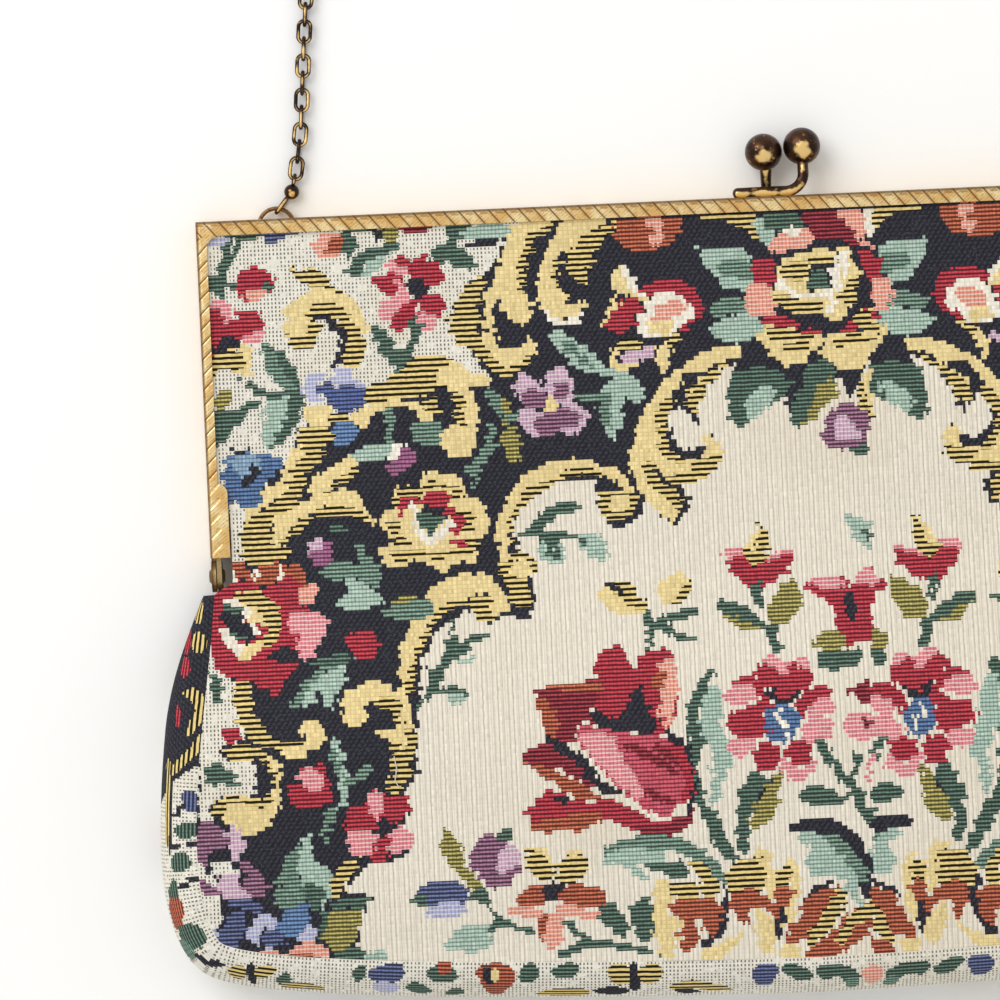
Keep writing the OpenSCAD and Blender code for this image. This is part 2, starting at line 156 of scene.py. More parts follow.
arm_mark = calc(tree, "MULTIPLY", fade(tree, arm_line, 0.78, 0.95), calc(
    tree, "SUBTRACT", 1.0, calc(tree, "MAXIMUM", on_rail, on_tab)))
# The marks are on the flats that face up or down, and the upright sides are plain
faces_up = calc(tree, "ABSOLUTE", add(tree, "ShaderNodeSeparateXYZ", add(
    tree, "ShaderNodeTexCoord").outputs["Normal"]).outputs[2])
on_flat = fade(tree, faces_up, 0.3, 0.6)
rope_mark = calc(tree, "MULTIPLY", calc(tree, "MAXIMUM", rail_mark, arm_mark), on_flat)
# A small hooked dash under the top edge in each turn of the rope
dash_line = near_line(tree, calc(tree, "ADD", rail_run, -1.05))
dash = calc(tree, "MULTIPLY", fade(tree, dash_line, 0.35, 0.6), calc(
    tree, "MULTIPLY", fade(tree, depth, 0.0005, 0.0007), fade(tree, depth, 0.0011, 0.0009)))
# Painted shade: a dark band along the rounded top edge of the rail and the outer ends, kept to the faces
# that look up or down
painted_edge_shade = calc(tree, "MAXIMUM", fade(tree, depth, 0.0008, 0.0003), fade(
    tree, side, half_width - 0.0007, half_width - 0.0002))
cloudy = add(tree, "ShaderNodeTexNoise", place, None, 260.0, 6.0).outputs[0]
patchy = add(tree, "ShaderNodeTexNoise", place, None, 1500.0, 4.0).outputs[0]
# Fine strands cross each turn of the rope the other way, worn off in places
strand_run = calc(tree, "ADD", across, calc(tree, "MULTIPLY", depth, 1.3))
strands = near_line(tree, calc(tree, "DIVIDE", strand_run, strand_pitch))
strands = calc(tree, "MULTIPLY", calc(tree, "MULTIPLY", fade(tree, strands, 0.55, 0.95), fade(
    tree, patchy, 0.4, 0.58)), calc(tree, "MULTIPLY", on_flat, 0.5))
tone = blend(tree, fade(tree, cloudy, 0.35, 0.68), linear("DDB26C"), linear("F3DDA6"))
tone = blend(tree, strands, tone, linear("6E4420"))
tone = blend(tree, calc(tree, "MULTIPLY", fade(tree, patchy, 0.6, 0.72), 0.45), tone, linear("A87648"))
tone = blend(tree, calc(tree, "MULTIPLY", rope_mark, 0.9), tone, linear("6A4220"))
tone = blend(tree, calc(tree, "MULTIPLY", dash, 0.6), tone, linear("7A4A20"))
painted_edge_shade = calc(tree, "MULTIPLY", painted_edge_shade, fade(tree, faces_up, 0.1, 0.3))
tone = blend(tree, calc(tree, "MULTIPLY", painted_edge_shade, 0.8), tone, linear("5A3A1C"))
# Painted shade: below the arms the hinge ears are darkened to stand for the dark gap round the hinge
painted_hinge_shade = fade(tree, depth, ears_start, ears_start + 0.001)
tone = blend(tree, calc(tree, "MULTIPLY", painted_hinge_shade, 0.6), tone, linear("5E4426"))
tree.links.new(tone, surface.inputs["Base Color"])
surface.inputs["Metallic"].default_value = 0.62
dulled = add(tree, "ShaderNodeMapRange", patchy, 0.3, 0.7, 0.3, 0.48).outputs[0]
tree.links.new(dulled, surface.inputs["Roughness"])
relief = calc(tree, "SUBTRACT", calc(tree, "MULTIPLY", patchy, 0.25), calc(
    tree, "MULTIPLY", rope_mark, 0.8))
tree.links.new(add(tree, "ShaderNodeBump", 0.35, 0.0002, None, relief).outputs[0], surface.inputs["Normal"])

dress(("rear_frame", "front_frame", "hinge_pin_left", "hinge_pin_right", "bail_left", "bail_right"), gilt)


# Clasp and chain. Both are brass with a dark bronze patina, with a painted gold highlight on the faces that
# point nearly straight up. The chain is loose: it lies beside the bag in a wide bow from one end of the rail
# to the other.

chain_end_x = 92.1
highlight_side = (0.05, -0.3, 0.95)

bronze, surface = start_finish("bronze")
tree = bronze.node_tree
place = add(tree, "ShaderNodeTexCoord").outputs["Object"]
specks = add(tree, "ShaderNodeTexNoise", place, None, 900.0, 5.0).outputs[0]
patches = add(tree, "ShaderNodeTexNoise", place, None, 420.0, 3.0).outputs[0]
# Painted highlight: bright gold where the surface faces nearly straight up, with a ragged rim
highlight_facing = add(tree, "ShaderNodeVectorMath", add(tree, "ShaderNodeTexCoord").outputs["Normal"], highlight_side,
             operation="DOT_PRODUCT").outputs["Value"]
ragged = calc(tree, "MULTIPLY", calc(tree, "SUBTRACT", patches, 0.5), 0.7)
painted_highlight = fade(tree, calc(tree, "ADD", highlight_facing, ragged), 0.86, 1.0)
tone = blend(tree, fade(tree, patches, 0.4, 0.65), linear("2C1C15"), linear("4E3322"))
tone = blend(tree, calc(tree, "MULTIPLY", fade(tree, specks, 0.6, 0.7), 0.6), tone, linear("B98A52"))
tone = blend(tree, painted_highlight, tone, linear("F3CE86"))
tree.links.new(tone, surface.inputs["Base Color"])
surface.inputs["Metallic"].default_value = 0.8
surface.inputs["Roughness"].default_value = 0.3
tree.links.new(add(tree, "ShaderNodeBump", 0.25, 0.0002, None, specks).outputs[0], surface.inputs["Normal"])

dress(("rear_clasp", "front_clasp", "chain_end_left", "chain_end_right", "chain"), bronze)


def curve_between(before, start, end, after, t):
    # A point on the smooth curve from start to end, with its neighbours on either side
    return 0.5 * (2 * start + (end - before) * t + (2 * before - 5 * start + 4 * end - after) * t * t
                  + (3 * start - before - 3 * end + after) * t ** 3)


chain_low, chain_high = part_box("chain")
bow = [(-91.4, 16.8), (-90.6, 26), (-89.6, 38), (-88.2, 52), (-85.6, 70), (-80, 89), (-69, 107), (-52, 120),
       (-30, 128), (0, 131)]
bow += [(-x, y) for x, y in reversed(bow[:-1])]
low_end = (chain_low.y - rail_top) * 1000 + 0.6
knots = np.array([(-chain_end_x, low_end)] + bow + [(chain_end_x, low_end)])
route = []
for i in range(len(knots) - 1):
    near_knots = [knots[min(max(i + k, 0), len(knots) - 1)] for k in (-1, 0, 1, 2)]
    for t in np.linspace(0, 1, 12, endpoint=False):
        route.append(curve_between(*near_knots, t))
route.append(knots[-1])
route = [(x / 1000, rail_top + y / 1000, (chain_low.z + chain_high.z) / 2) for x, y in route]


# Front cloth. One piece of jacquard tapestry, tucked into the front half of the frame at the top and sewn to
# the gusset round the lower edge. Straight weft rows about 0.8 mm apart carry the colours; every second line
# of a coloured field is the ground's thread, so the fields look lined from close by.

hinge_depth = 67.5
panel_end = 144.1
rail_half = half_width * 1000
top_mm = rail_top * 1000
first_row = 0.9
row_pitch = 0.78
rib_pitch = 0.96
rib_step = 0.5
mesh_half = 120.0
float_length = 3
arm_end = 51
seam_start = 71.1


def ease(value):
    value = np.clip(value, 0, 1)
    return value * value * (3 - 2 * value)


def handles(points, steps=160):
    t = np.linspace(0, 1, steps)[:, None]
    a, b, c, d = (np.array(p, float) for p in points)
    return a * (1 - t) ** 3 + 3 * b * t * (1 - t) ** 2 + 3 * c * t * t * (1 - t) + d * t ** 3


def cloth_height(x, d):
    # In mm above the table: low beside the frame's arms, and rising from the rail to the belly of the bag
    rise = 0.32 * ease(d / hinge_depth) + 0.68 * ease((d - hinge_depth + 10) / (0.55 * (
        panel_end - hinge_depth) + 10)) - 0.12 * ease((d - panel_end + 16) / 16)
    free = ease((rail_half - 3.8 - np.abs(x)) / 30)
    free = free + (1 - free) * ease((d - hinge_depth) / 38)
    return 7.8 + 13 * rise * free


side_seam = handles([(rail_half - 0.4, seam_start), (rail_half + 1.6, 93.1),
                     (rail_half + 8.55, panel_end - 18.5), (rail_half + 0.9, panel_end - 7.9)])
bottom_seam = handles([(rail_half + 0.9, panel_end - 7.9), (rail_half - 5, panel_end - 3.3),
                       (rail_half * 0.46, panel_end - 0.7), (0, panel_end)])

# Colours of the yarns: thread, the line between its rows, width of that line, kind of weave. The kinds are
# 0 lined, 0.5 lined more widely, 1 ribbed, 2 with dark pips, 3 flecked twill and 4 plain.
yarns = {
    "white": ("E4E0D3", "45423C", 0.0, 2),
    "cream": ("EAE2D2", "8A806E", 0.0, 1),
    "black": ("24242C", "6A6A72", 0.0, 3),
    "gold": ("E6D29A", "C0A466", 0.0, 4),
    "gold_lined": ("E2CA84", "1C1710", 0.52, 0.5),
    "crimson": ("CE4855", "380C16", 0.52, 0),
    "maroon": ("AE4450", "1E080E", 0.58, 0),
    "pink": ("DB7F88", "EFD9D2", 0.34, 0),
    "rose": ("D66472", "741E32", 0.46, 0),
    "coral": ("E2917C", "EFD6C8", 0.36, 0),
    "rust": ("D27458", "341610", 0.56, 0),
    "green": ("6C8878", "121718", 0.60, 0),
    "sage": ("8CAA98", "1A2422", 0.54, 0),
    "mint": ("B8CCBE", "6E8C7D", 0.42, 0),
    "olive": ("C2B66C", "202216", 0.58, 0),
    "navy": ("747EA8", "12152A", 0.60, 0),
    "navy_lined": ("6070A6", "20243C", 0.46, 0),
    "blue": ("7494BE", "263456", 0.48, 0),
    "blue_lined": ("6684AE", "222A46", 0.46, 0),
    "sky": ("93AFC6", "5E7690", 0.34, 0),
    "lavender": ("A9ABCE", "DAD9DC", 0.36, 0),
    "mauve": ("AE7E9A", "24111D", 0.56, 0),
    "mauve_lit": ("A86A8E", "3E2438", 0.40, 0),
    "lilac": ("C6A0B8", "E6DADA", 0.34, 0),
    "snow": ("ECE6D8", "CFC4AC", 0.2, 4),
}

# Fields of the pattern, in the order they lie over each other. The points are set out on the weaver's draft,
# 0.19 mm to a step; whatever no field covers is the black ground.
drawn = [
    # Grounds: white in the corner, cream in the middle, white again low on the left
    ("white", [190, 200, 522, 200, 512, 226, 504, 246, 497, 262, 484, 274, 468, 284, 458, 294, 452, 308,
        450, 322, 452, 338, 466, 348, 474, 356, 482, 368, 488, 378, 470, 372, 452, 362, 430, 356, 408,
        360, 398, 372, 384, 378, 366, 388, 372, 404, 366, 414, 340, 416, 318, 420, 306, 432, 290, 450,
        282, 470, 262, 488, 252, 506, 244, 526, 243, 562, 218, 578, 190, 580]),
    ("cream", [738, 364, 722, 370, 712, 380, 704, 398, 697, 424, 690, 440, 700, 446, 710, 432, 720, 446,
        722, 458, 714, 470, 700, 480, 682, 486, 690, 500, 684, 512, 672, 526, 654, 506, 645, 500, 636,
        516, 622, 528, 604, 518, 594, 504, 598, 480, 560, 482, 530, 500, 516, 518, 516, 540, 532, 566,
        534, 600, 530, 616, 508, 614, 490, 624, 470, 610, 455, 618, 436, 634, 424, 656, 420, 690, 417,
        730, 418, 774, 406, 790, 410, 812, 404, 824, 411, 850, 390, 862, 366, 868, 348, 884, 346, 892,
        370, 897, 362, 918, 356, 950, 372, 960, 372, 990, 885, 990, 885, 396, 848, 400, 846, 380, 832,
        382, 818, 405, 792, 420, 786, 393, 770, 400, 735, 378]),
    ("white", [203, 655, 212, 650, 222, 664, 232, 684, 234, 700, 238, 715, 246, 735, 236, 745, 222, 748,
        225, 760, 250, 762, 256, 776, 252, 796, 226, 796, 212, 806, 212, 826, 200, 828, 198, 760]),
    # Sprigs and flowers in the white corner
    ("lavender", [205, 246, 212, 238, 228, 236, 228, 242, 218, 246]),
    ("green", [236, 232, 262, 228, 262, 238, 242, 242, 240, 254, 232, 264, 226, 270, 217, 274, 220, 254,
        226, 240]),
    ("white", [230, 239, 234, 238, 233, 252, 230, 252]),
    ("green", [210, 284, 216, 273, 230, 266, 226, 278, 238, 284, 237, 290, 226, 288, 224, 300, 218, 299,
        213, 291]),
    ("green", [204, 276, 212, 277, 207, 297, 203, 294]),
    ("navy", [262, 231, 272, 226, 298, 221, 297, 229, 287, 238, 276, 243, 266, 241]),
    ("crimson", [238, 281, 244, 270, 252, 266, 262, 268, 269, 276, 272, 285, 270, 293, 262, 300, 248, 303,
        240, 297]),
    ("coral", [247, 290, 262, 289, 268, 294, 258, 301, 247, 300]),
    ("green", [262, 283, 274, 284, 273, 290, 264, 291]),
    ("crimson", [206, 306, 218, 308, 230, 320, 240, 318, 237, 311, 256, 310, 262, 318, 263, 330, 250, 338,
        235, 339, 228, 337, 214, 336, 205, 324]),
    ("pink", [208, 306, 214, 301, 228, 302, 232, 313, 229, 325, 223, 317, 216, 309]),
    ("crimson", [203, 332, 212, 331, 222, 340, 214, 353, 203, 358]),
    ("pink", [241, 339, 262, 331, 259, 341, 246, 343]),
    ("black", [213, 353, 220, 340, 230, 335, 238, 343, 232, 351]),
    ("gold_lined", [203, 379, 204, 364, 216, 354, 234, 350, 244, 356, 248, 364, 236, 373, 228, 368, 218,
        373, 208, 383]),
    ("gold", [236, 347, 242, 342, 251, 352, 251, 368, 245, 381, 240, 377, 246, 364, 242, 354]),
    ("olive", [216, 397, 224, 388, 232, 392, 232, 404, 222, 409, 215, 405]),
    ("green", [204, 403, 214, 409, 224, 411, 236, 410, 246, 403, 262, 399, 256, 409, 246, 415, 238, 424,
        228, 438, 214, 448, 206, 436, 204, 420]),
    ("green", [240, 378, 250, 380, 262, 389, 272, 393, 297, 389, 302, 395, 276, 399, 262, 397, 252, 391]),
    ("sage", [262, 346, 268, 342, 274, 351, 281, 361, 287, 373, 293, 384, 301, 393, 290, 392, 280, 387,
        270, 377, 263, 362]),
    ("green", [270, 346, 280, 350, 288, 358, 296, 370, 299, 384, 303, 393, 297, 392, 291, 380, 284, 369,
        276, 357]),
    ("mint", [268, 402, 280, 398, 292, 398, 287, 411, 284, 424, 275, 440, 266, 449, 261, 440, 264, 424]),
    ("green", [290, 399, 302, 395, 303, 406, 300, 422, 292, 434, 276, 448, 271, 446, 281, 430, 287, 413]),
    ("lavender", [303, 379, 310, 374, 319, 372, 323, 379, 316, 385, 318, 393, 327, 401, 318, 403, 308,
        399, 303, 390]),
    ("lavender", [331, 379, 335, 370, 344, 367, 350, 371, 353, 380, 361, 378, 364, 389, 354, 385, 340,
        387, 333, 385]),
    ("navy", [318, 385, 328, 382, 336, 388, 346, 382, 358, 386, 367, 394, 371, 402, 362, 409, 350, 413,
        338, 413, 330, 405, 326, 398, 320, 391]),
    ("navy_lined", [322, 390, 332, 388, 346, 386, 358, 390, 366, 398, 356, 408, 342, 410, 334, 402]),
    # Large yellow C in the corner
    ("gold", [303, 296, 310, 290, 322, 288, 336, 290, 346, 296, 356, 302, 363, 314, 367, 326, 367, 335,
        360, 333, 352, 322, 344, 312, 334, 306, 322, 304, 312, 310, 306, 318, 311, 322, 306, 331, 299,
        337, 290, 335, 283, 328, 282, 320, 284, 310, 290, 302]),
    ("gold_lined", [312, 309, 322, 303, 336, 306, 346, 312, 353, 322, 361, 332, 365, 342, 365, 353, 360,
        363, 353, 367, 343, 365, 342, 352, 346, 344, 344, 334, 338, 322, 330, 316, 318, 314, 307, 319]),
    ("black", [309, 319, 320, 314, 332, 318, 340, 325, 345, 338, 345, 350, 341, 366, 335, 370, 338, 348,
        337, 337, 331, 326, 324, 320, 315, 323]),
    ("gold_lined", [281, 330, 290, 336, 300, 338, 307, 330, 311, 322, 321, 324, 321, 336, 314, 346, 306,
        351, 298, 349, 290, 343]),
    ("gold_lined", [290, 265, 296, 270, 310, 268, 318, 270, 326, 278, 332, 285, 341, 295, 330, 290, 318,
        287, 306, 285, 298, 279, 292, 273]),
    # Along the top of the corner
    ("coral", [313, 244, 318, 238, 326, 233, 338, 233, 347, 237, 342, 248, 336, 256, 322, 258, 313, 253]),
    ("rust", [330, 240, 342, 237, 342, 247, 334, 253, 322, 254, 328, 247]),
    ("green", [333, 226, 344, 223, 360, 225, 372, 221, 382, 221, 378, 233, 360, 233, 348, 235, 340, 231]),
    ("green", [342, 242, 350, 236, 358, 240, 352, 257, 344, 258]),
    ("green", [358, 254, 372, 248, 396, 241, 397, 248, 388, 253, 376, 257, 366, 262, 359, 274, 351, 277,
        349, 269, 352, 262]),
    ("mint", [366, 264, 378, 256, 390, 253, 381, 267, 372, 275, 357, 277, 361, 270]),
    ("olive", [380, 227, 398, 225, 398, 239, 386, 241, 380, 237]),
    ("black", [371, 223, 380, 223, 379, 240, 383, 247, 372, 238]),
    ("maroon", [402, 224, 414, 221, 429, 221, 428, 230, 410, 233, 402, 231]),
    ("green", [436, 249, 446, 242, 448, 223, 474, 219, 466, 236, 456, 244, 466, 250, 472, 261, 477, 269,
        458, 269, 450, 261, 440, 264, 430, 262]),
    ("mint", [468, 227, 490, 223, 510, 226, 508, 236, 492, 240, 478, 241, 462, 236]),
    ("black", [468, 247, 478, 240, 502, 236, 503, 241, 490, 246]),
    # Red flower
    ("crimson", [371, 278, 380, 276, 392, 272, 404, 277, 411, 286, 400, 293, 390, 295, 379, 289]),
    ("pink", [387, 269, 392, 260, 402, 256, 409, 262, 412, 273, 402, 277, 392, 273]),
    ("crimson", [396, 258, 404, 255, 411, 264, 412, 274, 404, 268]),
    ("crimson", [410, 268, 415, 259, 420, 253, 429, 260, 438, 265, 445, 274, 441, 283, 430, 287, 420, 283,
        411, 279]),
    ("pink", [378, 307, 388, 298, 400, 295, 409, 299, 403, 312, 393, 320, 380, 317]),
    ("crimson", [390, 323, 400, 309, 408, 299, 415, 299, 419, 311, 414, 323, 406, 331, 395, 331]),
    ("crimson", [420, 299, 432, 293, 441, 296, 447, 304, 443, 313, 434, 319, 423, 311]),
    ("pink", [418, 309, 427, 314, 437, 318, 434, 329, 426, 333, 419, 325]),
    ("pink", [393, 280, 404, 282, 409, 292, 404, 306, 398, 300, 400, 290]),
    ("black", [410, 282, 418, 279, 425, 284, 425, 294, 418, 299, 410, 296]),
    ("green", [412, 318, 419, 318, 421, 330, 415, 346, 411, 360, 402, 370, 394, 374, 392, 362, 382, 353,
        374, 341, 371, 324, 382, 328, 392, 338, 400, 350, 408, 342]),
    ("white", [404, 333, 408, 326, 411, 334, 406, 346]),
    # Left yellow S, with a dark line outside it
    ("gold_lined", [478, 280, 485, 275, 485, 290, 480, 300, 479, 318, 480, 330, 486, 344, 494, 356, 502,
        366, 514, 369, 524, 364, 536, 352, 531, 363, 520, 370, 508, 375, 495, 374, 484, 363, 474, 353,
        468, 349, 456, 343, 450, 332, 450, 318, 454, 306, 460, 292, 468, 284]),
    ("black", [500, 255, 506, 258, 496, 276, 490, 290, 486, 302, 485, 342, 479, 334, 479, 310, 482, 292,
        487, 274]),
    ("gold", [518, 220, 549, 220, 537, 232, 527, 248, 521, 262, 519, 280, 521, 292, 529, 300, 534, 308,
        531, 318, 523, 325, 512, 323, 504, 317, 500, 307, 499, 299, 494, 301, 491, 310, 493, 324, 497,
        336, 501, 347, 510, 349, 520, 346, 527, 340, 530, 335, 535, 342, 537, 352, 530, 361, 518, 366,
        505, 369, 496, 364, 489, 352, 485, 340, 484, 322, 484, 302, 488, 290, 493, 276, 499, 262, 505,
        246, 511, 232]),
    ("gold_lined", [530, 234, 549, 223, 545, 232, 535, 242, 531, 254, 527, 266, 525, 280, 523, 295, 518,
        290, 518, 272, 521, 256, 526, 244]),
    ("black", [499, 301, 503, 310, 509, 319, 517, 325, 526, 325, 534, 317, 528, 334, 518, 346, 506, 347,
        500, 338, 496, 326, 492, 312]),
    ("gold_lined", [488, 352, 496, 362, 506, 367, 518, 364, 532, 354, 536, 350, 532, 362, 518, 370, 504,
        374, 492, 372, 482, 360, 476, 352]),
    # Right yellow C at the top
    ("gold", [566, 220, 590, 218, 608, 220, 597, 228, 583, 236, 575, 246, 567, 252, 557, 258, 554, 268,
        554, 280, 558, 290, 564, 298, 572, 304, 585, 299, 586, 306, 580, 313, 566, 319, 556, 319, 548,
        315, 542, 306, 538, 294, 537, 282, 540, 268, 544, 256, 550, 244, 557, 232]),
    ("snow", [545, 310, 552, 316, 562, 319, 574, 318, 584, 310, 580, 322, 562, 325, 548, 320]),
    ("gold_lined", [576, 244, 584, 236, 598, 228, 618, 220, 612, 232, 604, 241, 595, 249, 593, 258, 589,
        266, 587, 278, 584, 287, 578, 281, 570, 275, 566, 266, 565, 256, 571, 250]),
    ("gold_lined", [562, 258, 553, 264, 553, 280, 559, 290, 567, 300, 564, 291, 560, 280, 559, 268]),
    ("black", [562, 256, 567, 254, 566, 268, 572, 278, 580, 286, 580, 300, 570, 299, 562, 290, 558, 276]),
    # Pansy
    ("lilac", [516, 392, 518, 380, 524, 373, 532, 376, 540, 384, 544, 392, 542, 401, 530, 403, 519, 401]),
    ("lilac", [545, 385, 550, 372, 560, 367, 568, 373, 573, 386, 571, 399, 560, 405, 550, 401]),
    ("mauve", [519, 395, 534, 388, 544, 394, 543, 404, 534, 409, 522, 404]),
    ("mauve", [552, 389, 560, 382, 567, 385, 569, 396, 556, 399]),
    ("gold", [543, 404, 550, 396, 559, 404, 555, 413, 546, 413]),
    ("lilac", [519, 416, 528, 407, 540, 412, 552, 414, 566, 403, 578, 403, 588, 411, 588, 423, 580, 431,
        568, 434, 552, 432, 536, 440, 526, 434]),
    ("mauve", [533, 421, 548, 412, 564, 408, 579, 415, 576, 427, 560, 430, 548, 436, 538, 434]),
    # Leaves on the black beside the pansy
    ("mint", [550, 335, 560, 330, 567, 332, 573, 340, 580, 342, 588, 347, 596, 355, 602, 366, 616, 366,
        622, 373, 608, 376, 594, 373, 580, 371, 568, 365, 560, 356, 554, 346]),
    ("sage", [560, 344, 570, 340, 580, 350, 590, 360, 596, 368, 582, 364, 568, 354]),
    ("sage", [484, 390, 492, 388, 500, 396, 506, 408, 512, 414, 520, 410, 518, 418, 508, 428, 500, 420,
        492, 408]),
    ("olive", [500, 396, 506, 398, 512, 410, 508, 414, 502, 406]),
    ("olive", [504, 420, 512, 426, 518, 438, 520, 456, 514, 464, 506, 456, 502, 440]),
    ("sage", [490, 424, 496, 428, 492, 450, 482, 466, 474, 486, 468, 494, 472, 478, 462, 466, 476, 460,
        484, 446]),
    ("mint", [604, 388, 612, 378, 626, 372, 640, 384, 645, 397, 636, 403, 626, 396, 622, 405, 624, 420,
        617, 432, 612, 441, 604, 431, 599, 412]),
    ("sage", [599, 398, 608, 392, 611, 410, 607, 428, 600, 420]),
    ("sage", [574, 395, 598, 394, 606, 398, 590, 401, 576, 400]),
    # Hook scroll below the corner
    ("gold_lined", [361, 391, 372, 384, 384, 378, 398, 372, 404, 364, 416, 358, 436, 355, 456, 360, 470,
        374, 487, 380, 470, 387, 458, 391, 440, 388, 430, 393, 414, 397, 396, 399, 372, 405]),
    ("gold", [434, 380, 444, 367, 458, 361, 470, 372, 489, 378, 485, 386, 466, 387, 474, 397, 478, 412,
        478, 432, 474, 446, 468, 455, 456, 457, 446, 449, 439, 438, 444, 428, 454, 424, 461, 425, 461,
        410, 456, 398, 448, 390]),
    ("gold_lined", [446, 391, 458, 391, 465, 400, 465, 418, 461, 428, 456, 421, 456, 408, 452, 400]),
    ("gold", [372, 405, 396, 398, 408, 401, 420, 405, 431, 409, 434, 418, 428, 425, 420, 419, 412, 411,
        400, 407, 384, 411, 372, 414]),
    ("gold_lined", [424, 400, 439, 397, 440, 410, 432, 415, 426, 409]),
    ("black", [437, 391, 447, 392, 452, 402, 456, 412, 456, 421, 446, 424, 440, 432, 436, 420, 440, 408]),
    ("sage", [412, 424, 424, 420, 440, 422, 444, 430, 440, 440, 426, 446, 414, 438]),
    ("sage", [384, 410, 390, 406, 394, 420, 392, 444, 386, 440]),
    # Long scroll beside the left arm
    ("gold", [305, 409, 320, 404, 333, 408, 333, 416, 344, 417, 360, 412, 376, 403, 376, 412, 369, 424,
        360, 428, 350, 421, 338, 421, 330, 425, 318, 426, 307, 421]),
    ("gold_lined", [327, 419, 338, 413, 350, 416, 341, 421, 332, 424]),
    ("gold_lined", [300, 429, 331, 429, 335, 438, 327, 446, 323, 453, 318, 463, 309, 472, 305, 484, 301,
        495, 291, 503, 301, 503, 289, 513, 277, 521, 268, 531, 285, 533, 277, 545, 283, 549, 293, 546,
        291, 553, 284, 560, 262, 566, 243, 563, 243, 530, 250, 518, 262, 512, 276, 500, 284, 488, 290,
        474, 296, 462, 300, 452, 297, 440]),
    ("gold", [288, 452, 296, 446, 305, 446, 301, 456, 295, 466, 291, 476, 285, 488, 277, 498, 266, 506,
        257, 512, 251, 523, 248, 509, 260, 492, 276, 484, 284, 470]),
    ("gold", [275, 521, 288, 512, 300, 504, 308, 499, 318, 499, 330, 497, 346, 495, 358, 499, 367, 507,
        371, 516, 373, 526, 364, 521, 354, 513, 340, 507, 322, 507, 310, 513, 300, 519, 290, 527, 284,
        535, 277, 548, 272, 541, 272, 530]),
    ("gold", [309, 497, 310, 486, 316, 476, 324, 471, 336, 465, 346, 460, 351, 455, 357, 466, 350, 472,
        340, 477, 332, 483, 330, 490, 350, 489, 361, 497, 340, 500, 316, 503]),
    ("gold_lined", [357, 467, 357, 475, 346, 481, 336, 488, 328, 497, 321, 497, 332, 486, 340, 477, 350,
        471]),
    ("gold_lined", [311, 516, 322, 508, 340, 505, 354, 508, 366, 515, 372, 524, 356, 519, 336, 515, 318,
        518, 304, 525, 296, 534, 284, 546, 280, 540, 290, 528, 300, 520]),
    # Blue flower beside the arm
    ("blue_lined", [222, 475, 226, 458, 236, 452, 248, 450, 254, 456, 266, 455, 278, 458, 283, 466, 277,
        476, 264, 483, 261, 492, 262, 504, 246, 509, 236, 502, 222, 510, 221, 492, 226, 485]),
    ("sky", [230, 463, 240, 453, 252, 455, 258, 462, 263, 470, 256, 477, 246, 481, 240, 473, 234, 472]),
    ("black", [226, 446, 238, 450, 252, 448, 248, 452, 234, 454]),
    ("black", [252, 462, 260, 470, 256, 480, 246, 490, 242, 482, 250, 474]),
    ("blue", [331, 433, 338, 424, 350, 421, 358, 428, 357, 438, 350, 445, 342, 447, 333, 441]),
    # Bud on the black
    ("mint", [351, 457, 362, 448, 374, 443, 389, 446, 389, 458, 376, 461, 362, 461]),
    ("snow", [388, 451, 396, 444, 405, 446, 402, 457, 392, 461]),
    ("mauve_lit", [384, 463, 396, 458, 404, 448, 416, 450, 416, 458, 410, 467, 396, 475, 386, 472]),
    # Yellow rose
    ("gold", [416, 490, 422, 474, 430, 470, 440, 476, 450, 474, 460, 478, 464, 490, 470, 496, 478, 498,
        484, 506, 487, 520, 484, 532, 478, 540, 478, 552, 470, 566, 462, 560, 452, 566, 444, 572, 432,
        568, 424, 562, 412, 560, 404, 566, 392, 568, 384, 560, 380, 548, 386, 546, 394, 540, 384, 530,
        382, 520, 386, 510, 394, 508, 392, 496, 400, 486]),
    ("gold_lined", [393, 504, 394, 496, 402, 488, 416, 486, 422, 490, 416, 498, 404, 500, 398, 508]),
    ("gold_lined", [420, 486, 430, 480, 438, 482, 450, 486, 462, 490, 462, 498, 450, 500, 450, 492, 436,
        488, 424, 492]),
    ("gold_lined", [452, 512, 466, 510, 474, 516, 474, 528, 466, 532, 456, 530, 460, 520]),
    ("gold_lined", [448, 550, 456, 542, 468, 540, 478, 542, 476, 550, 462, 556, 448, 558, 434, 560, 420,
        558, 400, 562, 390, 558, 392, 550, 412, 548, 430, 552]),
    ("gold_lined", [388, 522, 400, 522, 402, 532, 410, 540, 402, 548, 392, 544, 396, 536, 388, 532]),
    ("crimson", [398, 506, 402, 496, 412, 496, 416, 504, 408, 506, 404, 516, 400, 516]),
    ("crimson", [418, 502, 426, 492, 438, 490, 450, 494, 452, 504, 442, 508, 428, 508]),
    ("crimson", [442, 508, 452, 506, 460, 514, 464, 522, 460, 532, 452, 534, 450, 520]),
    ("crimson", [452, 538, 464, 540, 466, 546, 454, 546]),
    ("gold", [404, 510, 410, 506, 412, 520, 414, 534, 422, 544, 436, 546, 448, 538, 440, 548, 424, 550,
        412, 544, 404, 532]),
    ("snow", [406, 508, 414, 502, 416, 512, 414, 530, 420, 542, 432, 544, 446, 536, 454, 522, 446, 520,
        438, 530, 426, 536, 420, 520, 420, 508]),
    ("green", [420, 512, 432, 508, 440, 514, 446, 518, 436, 526, 430, 536, 424, 532, 420, 522]),
    ("black", [424, 506, 442, 508, 448, 518, 440, 516, 426, 512]),
    # Arch scroll over the cream
    ("gold", [496, 548, 496, 530, 500, 514, 508, 498, 516, 486, 528, 474, 540, 466, 556, 462, 572, 458,
        590, 460, 604, 466, 618, 470, 628, 482, 634, 492, 638, 502, 630, 512, 620, 512, 610, 506, 606,
        500, 612, 494, 624, 500, 622, 488, 612, 478, 598, 472, 578, 472, 562, 478, 546, 486, 532, 498,
        520, 508, 514, 520, 510, 536, 508, 556, 510, 572, 504, 566, 498, 558]),
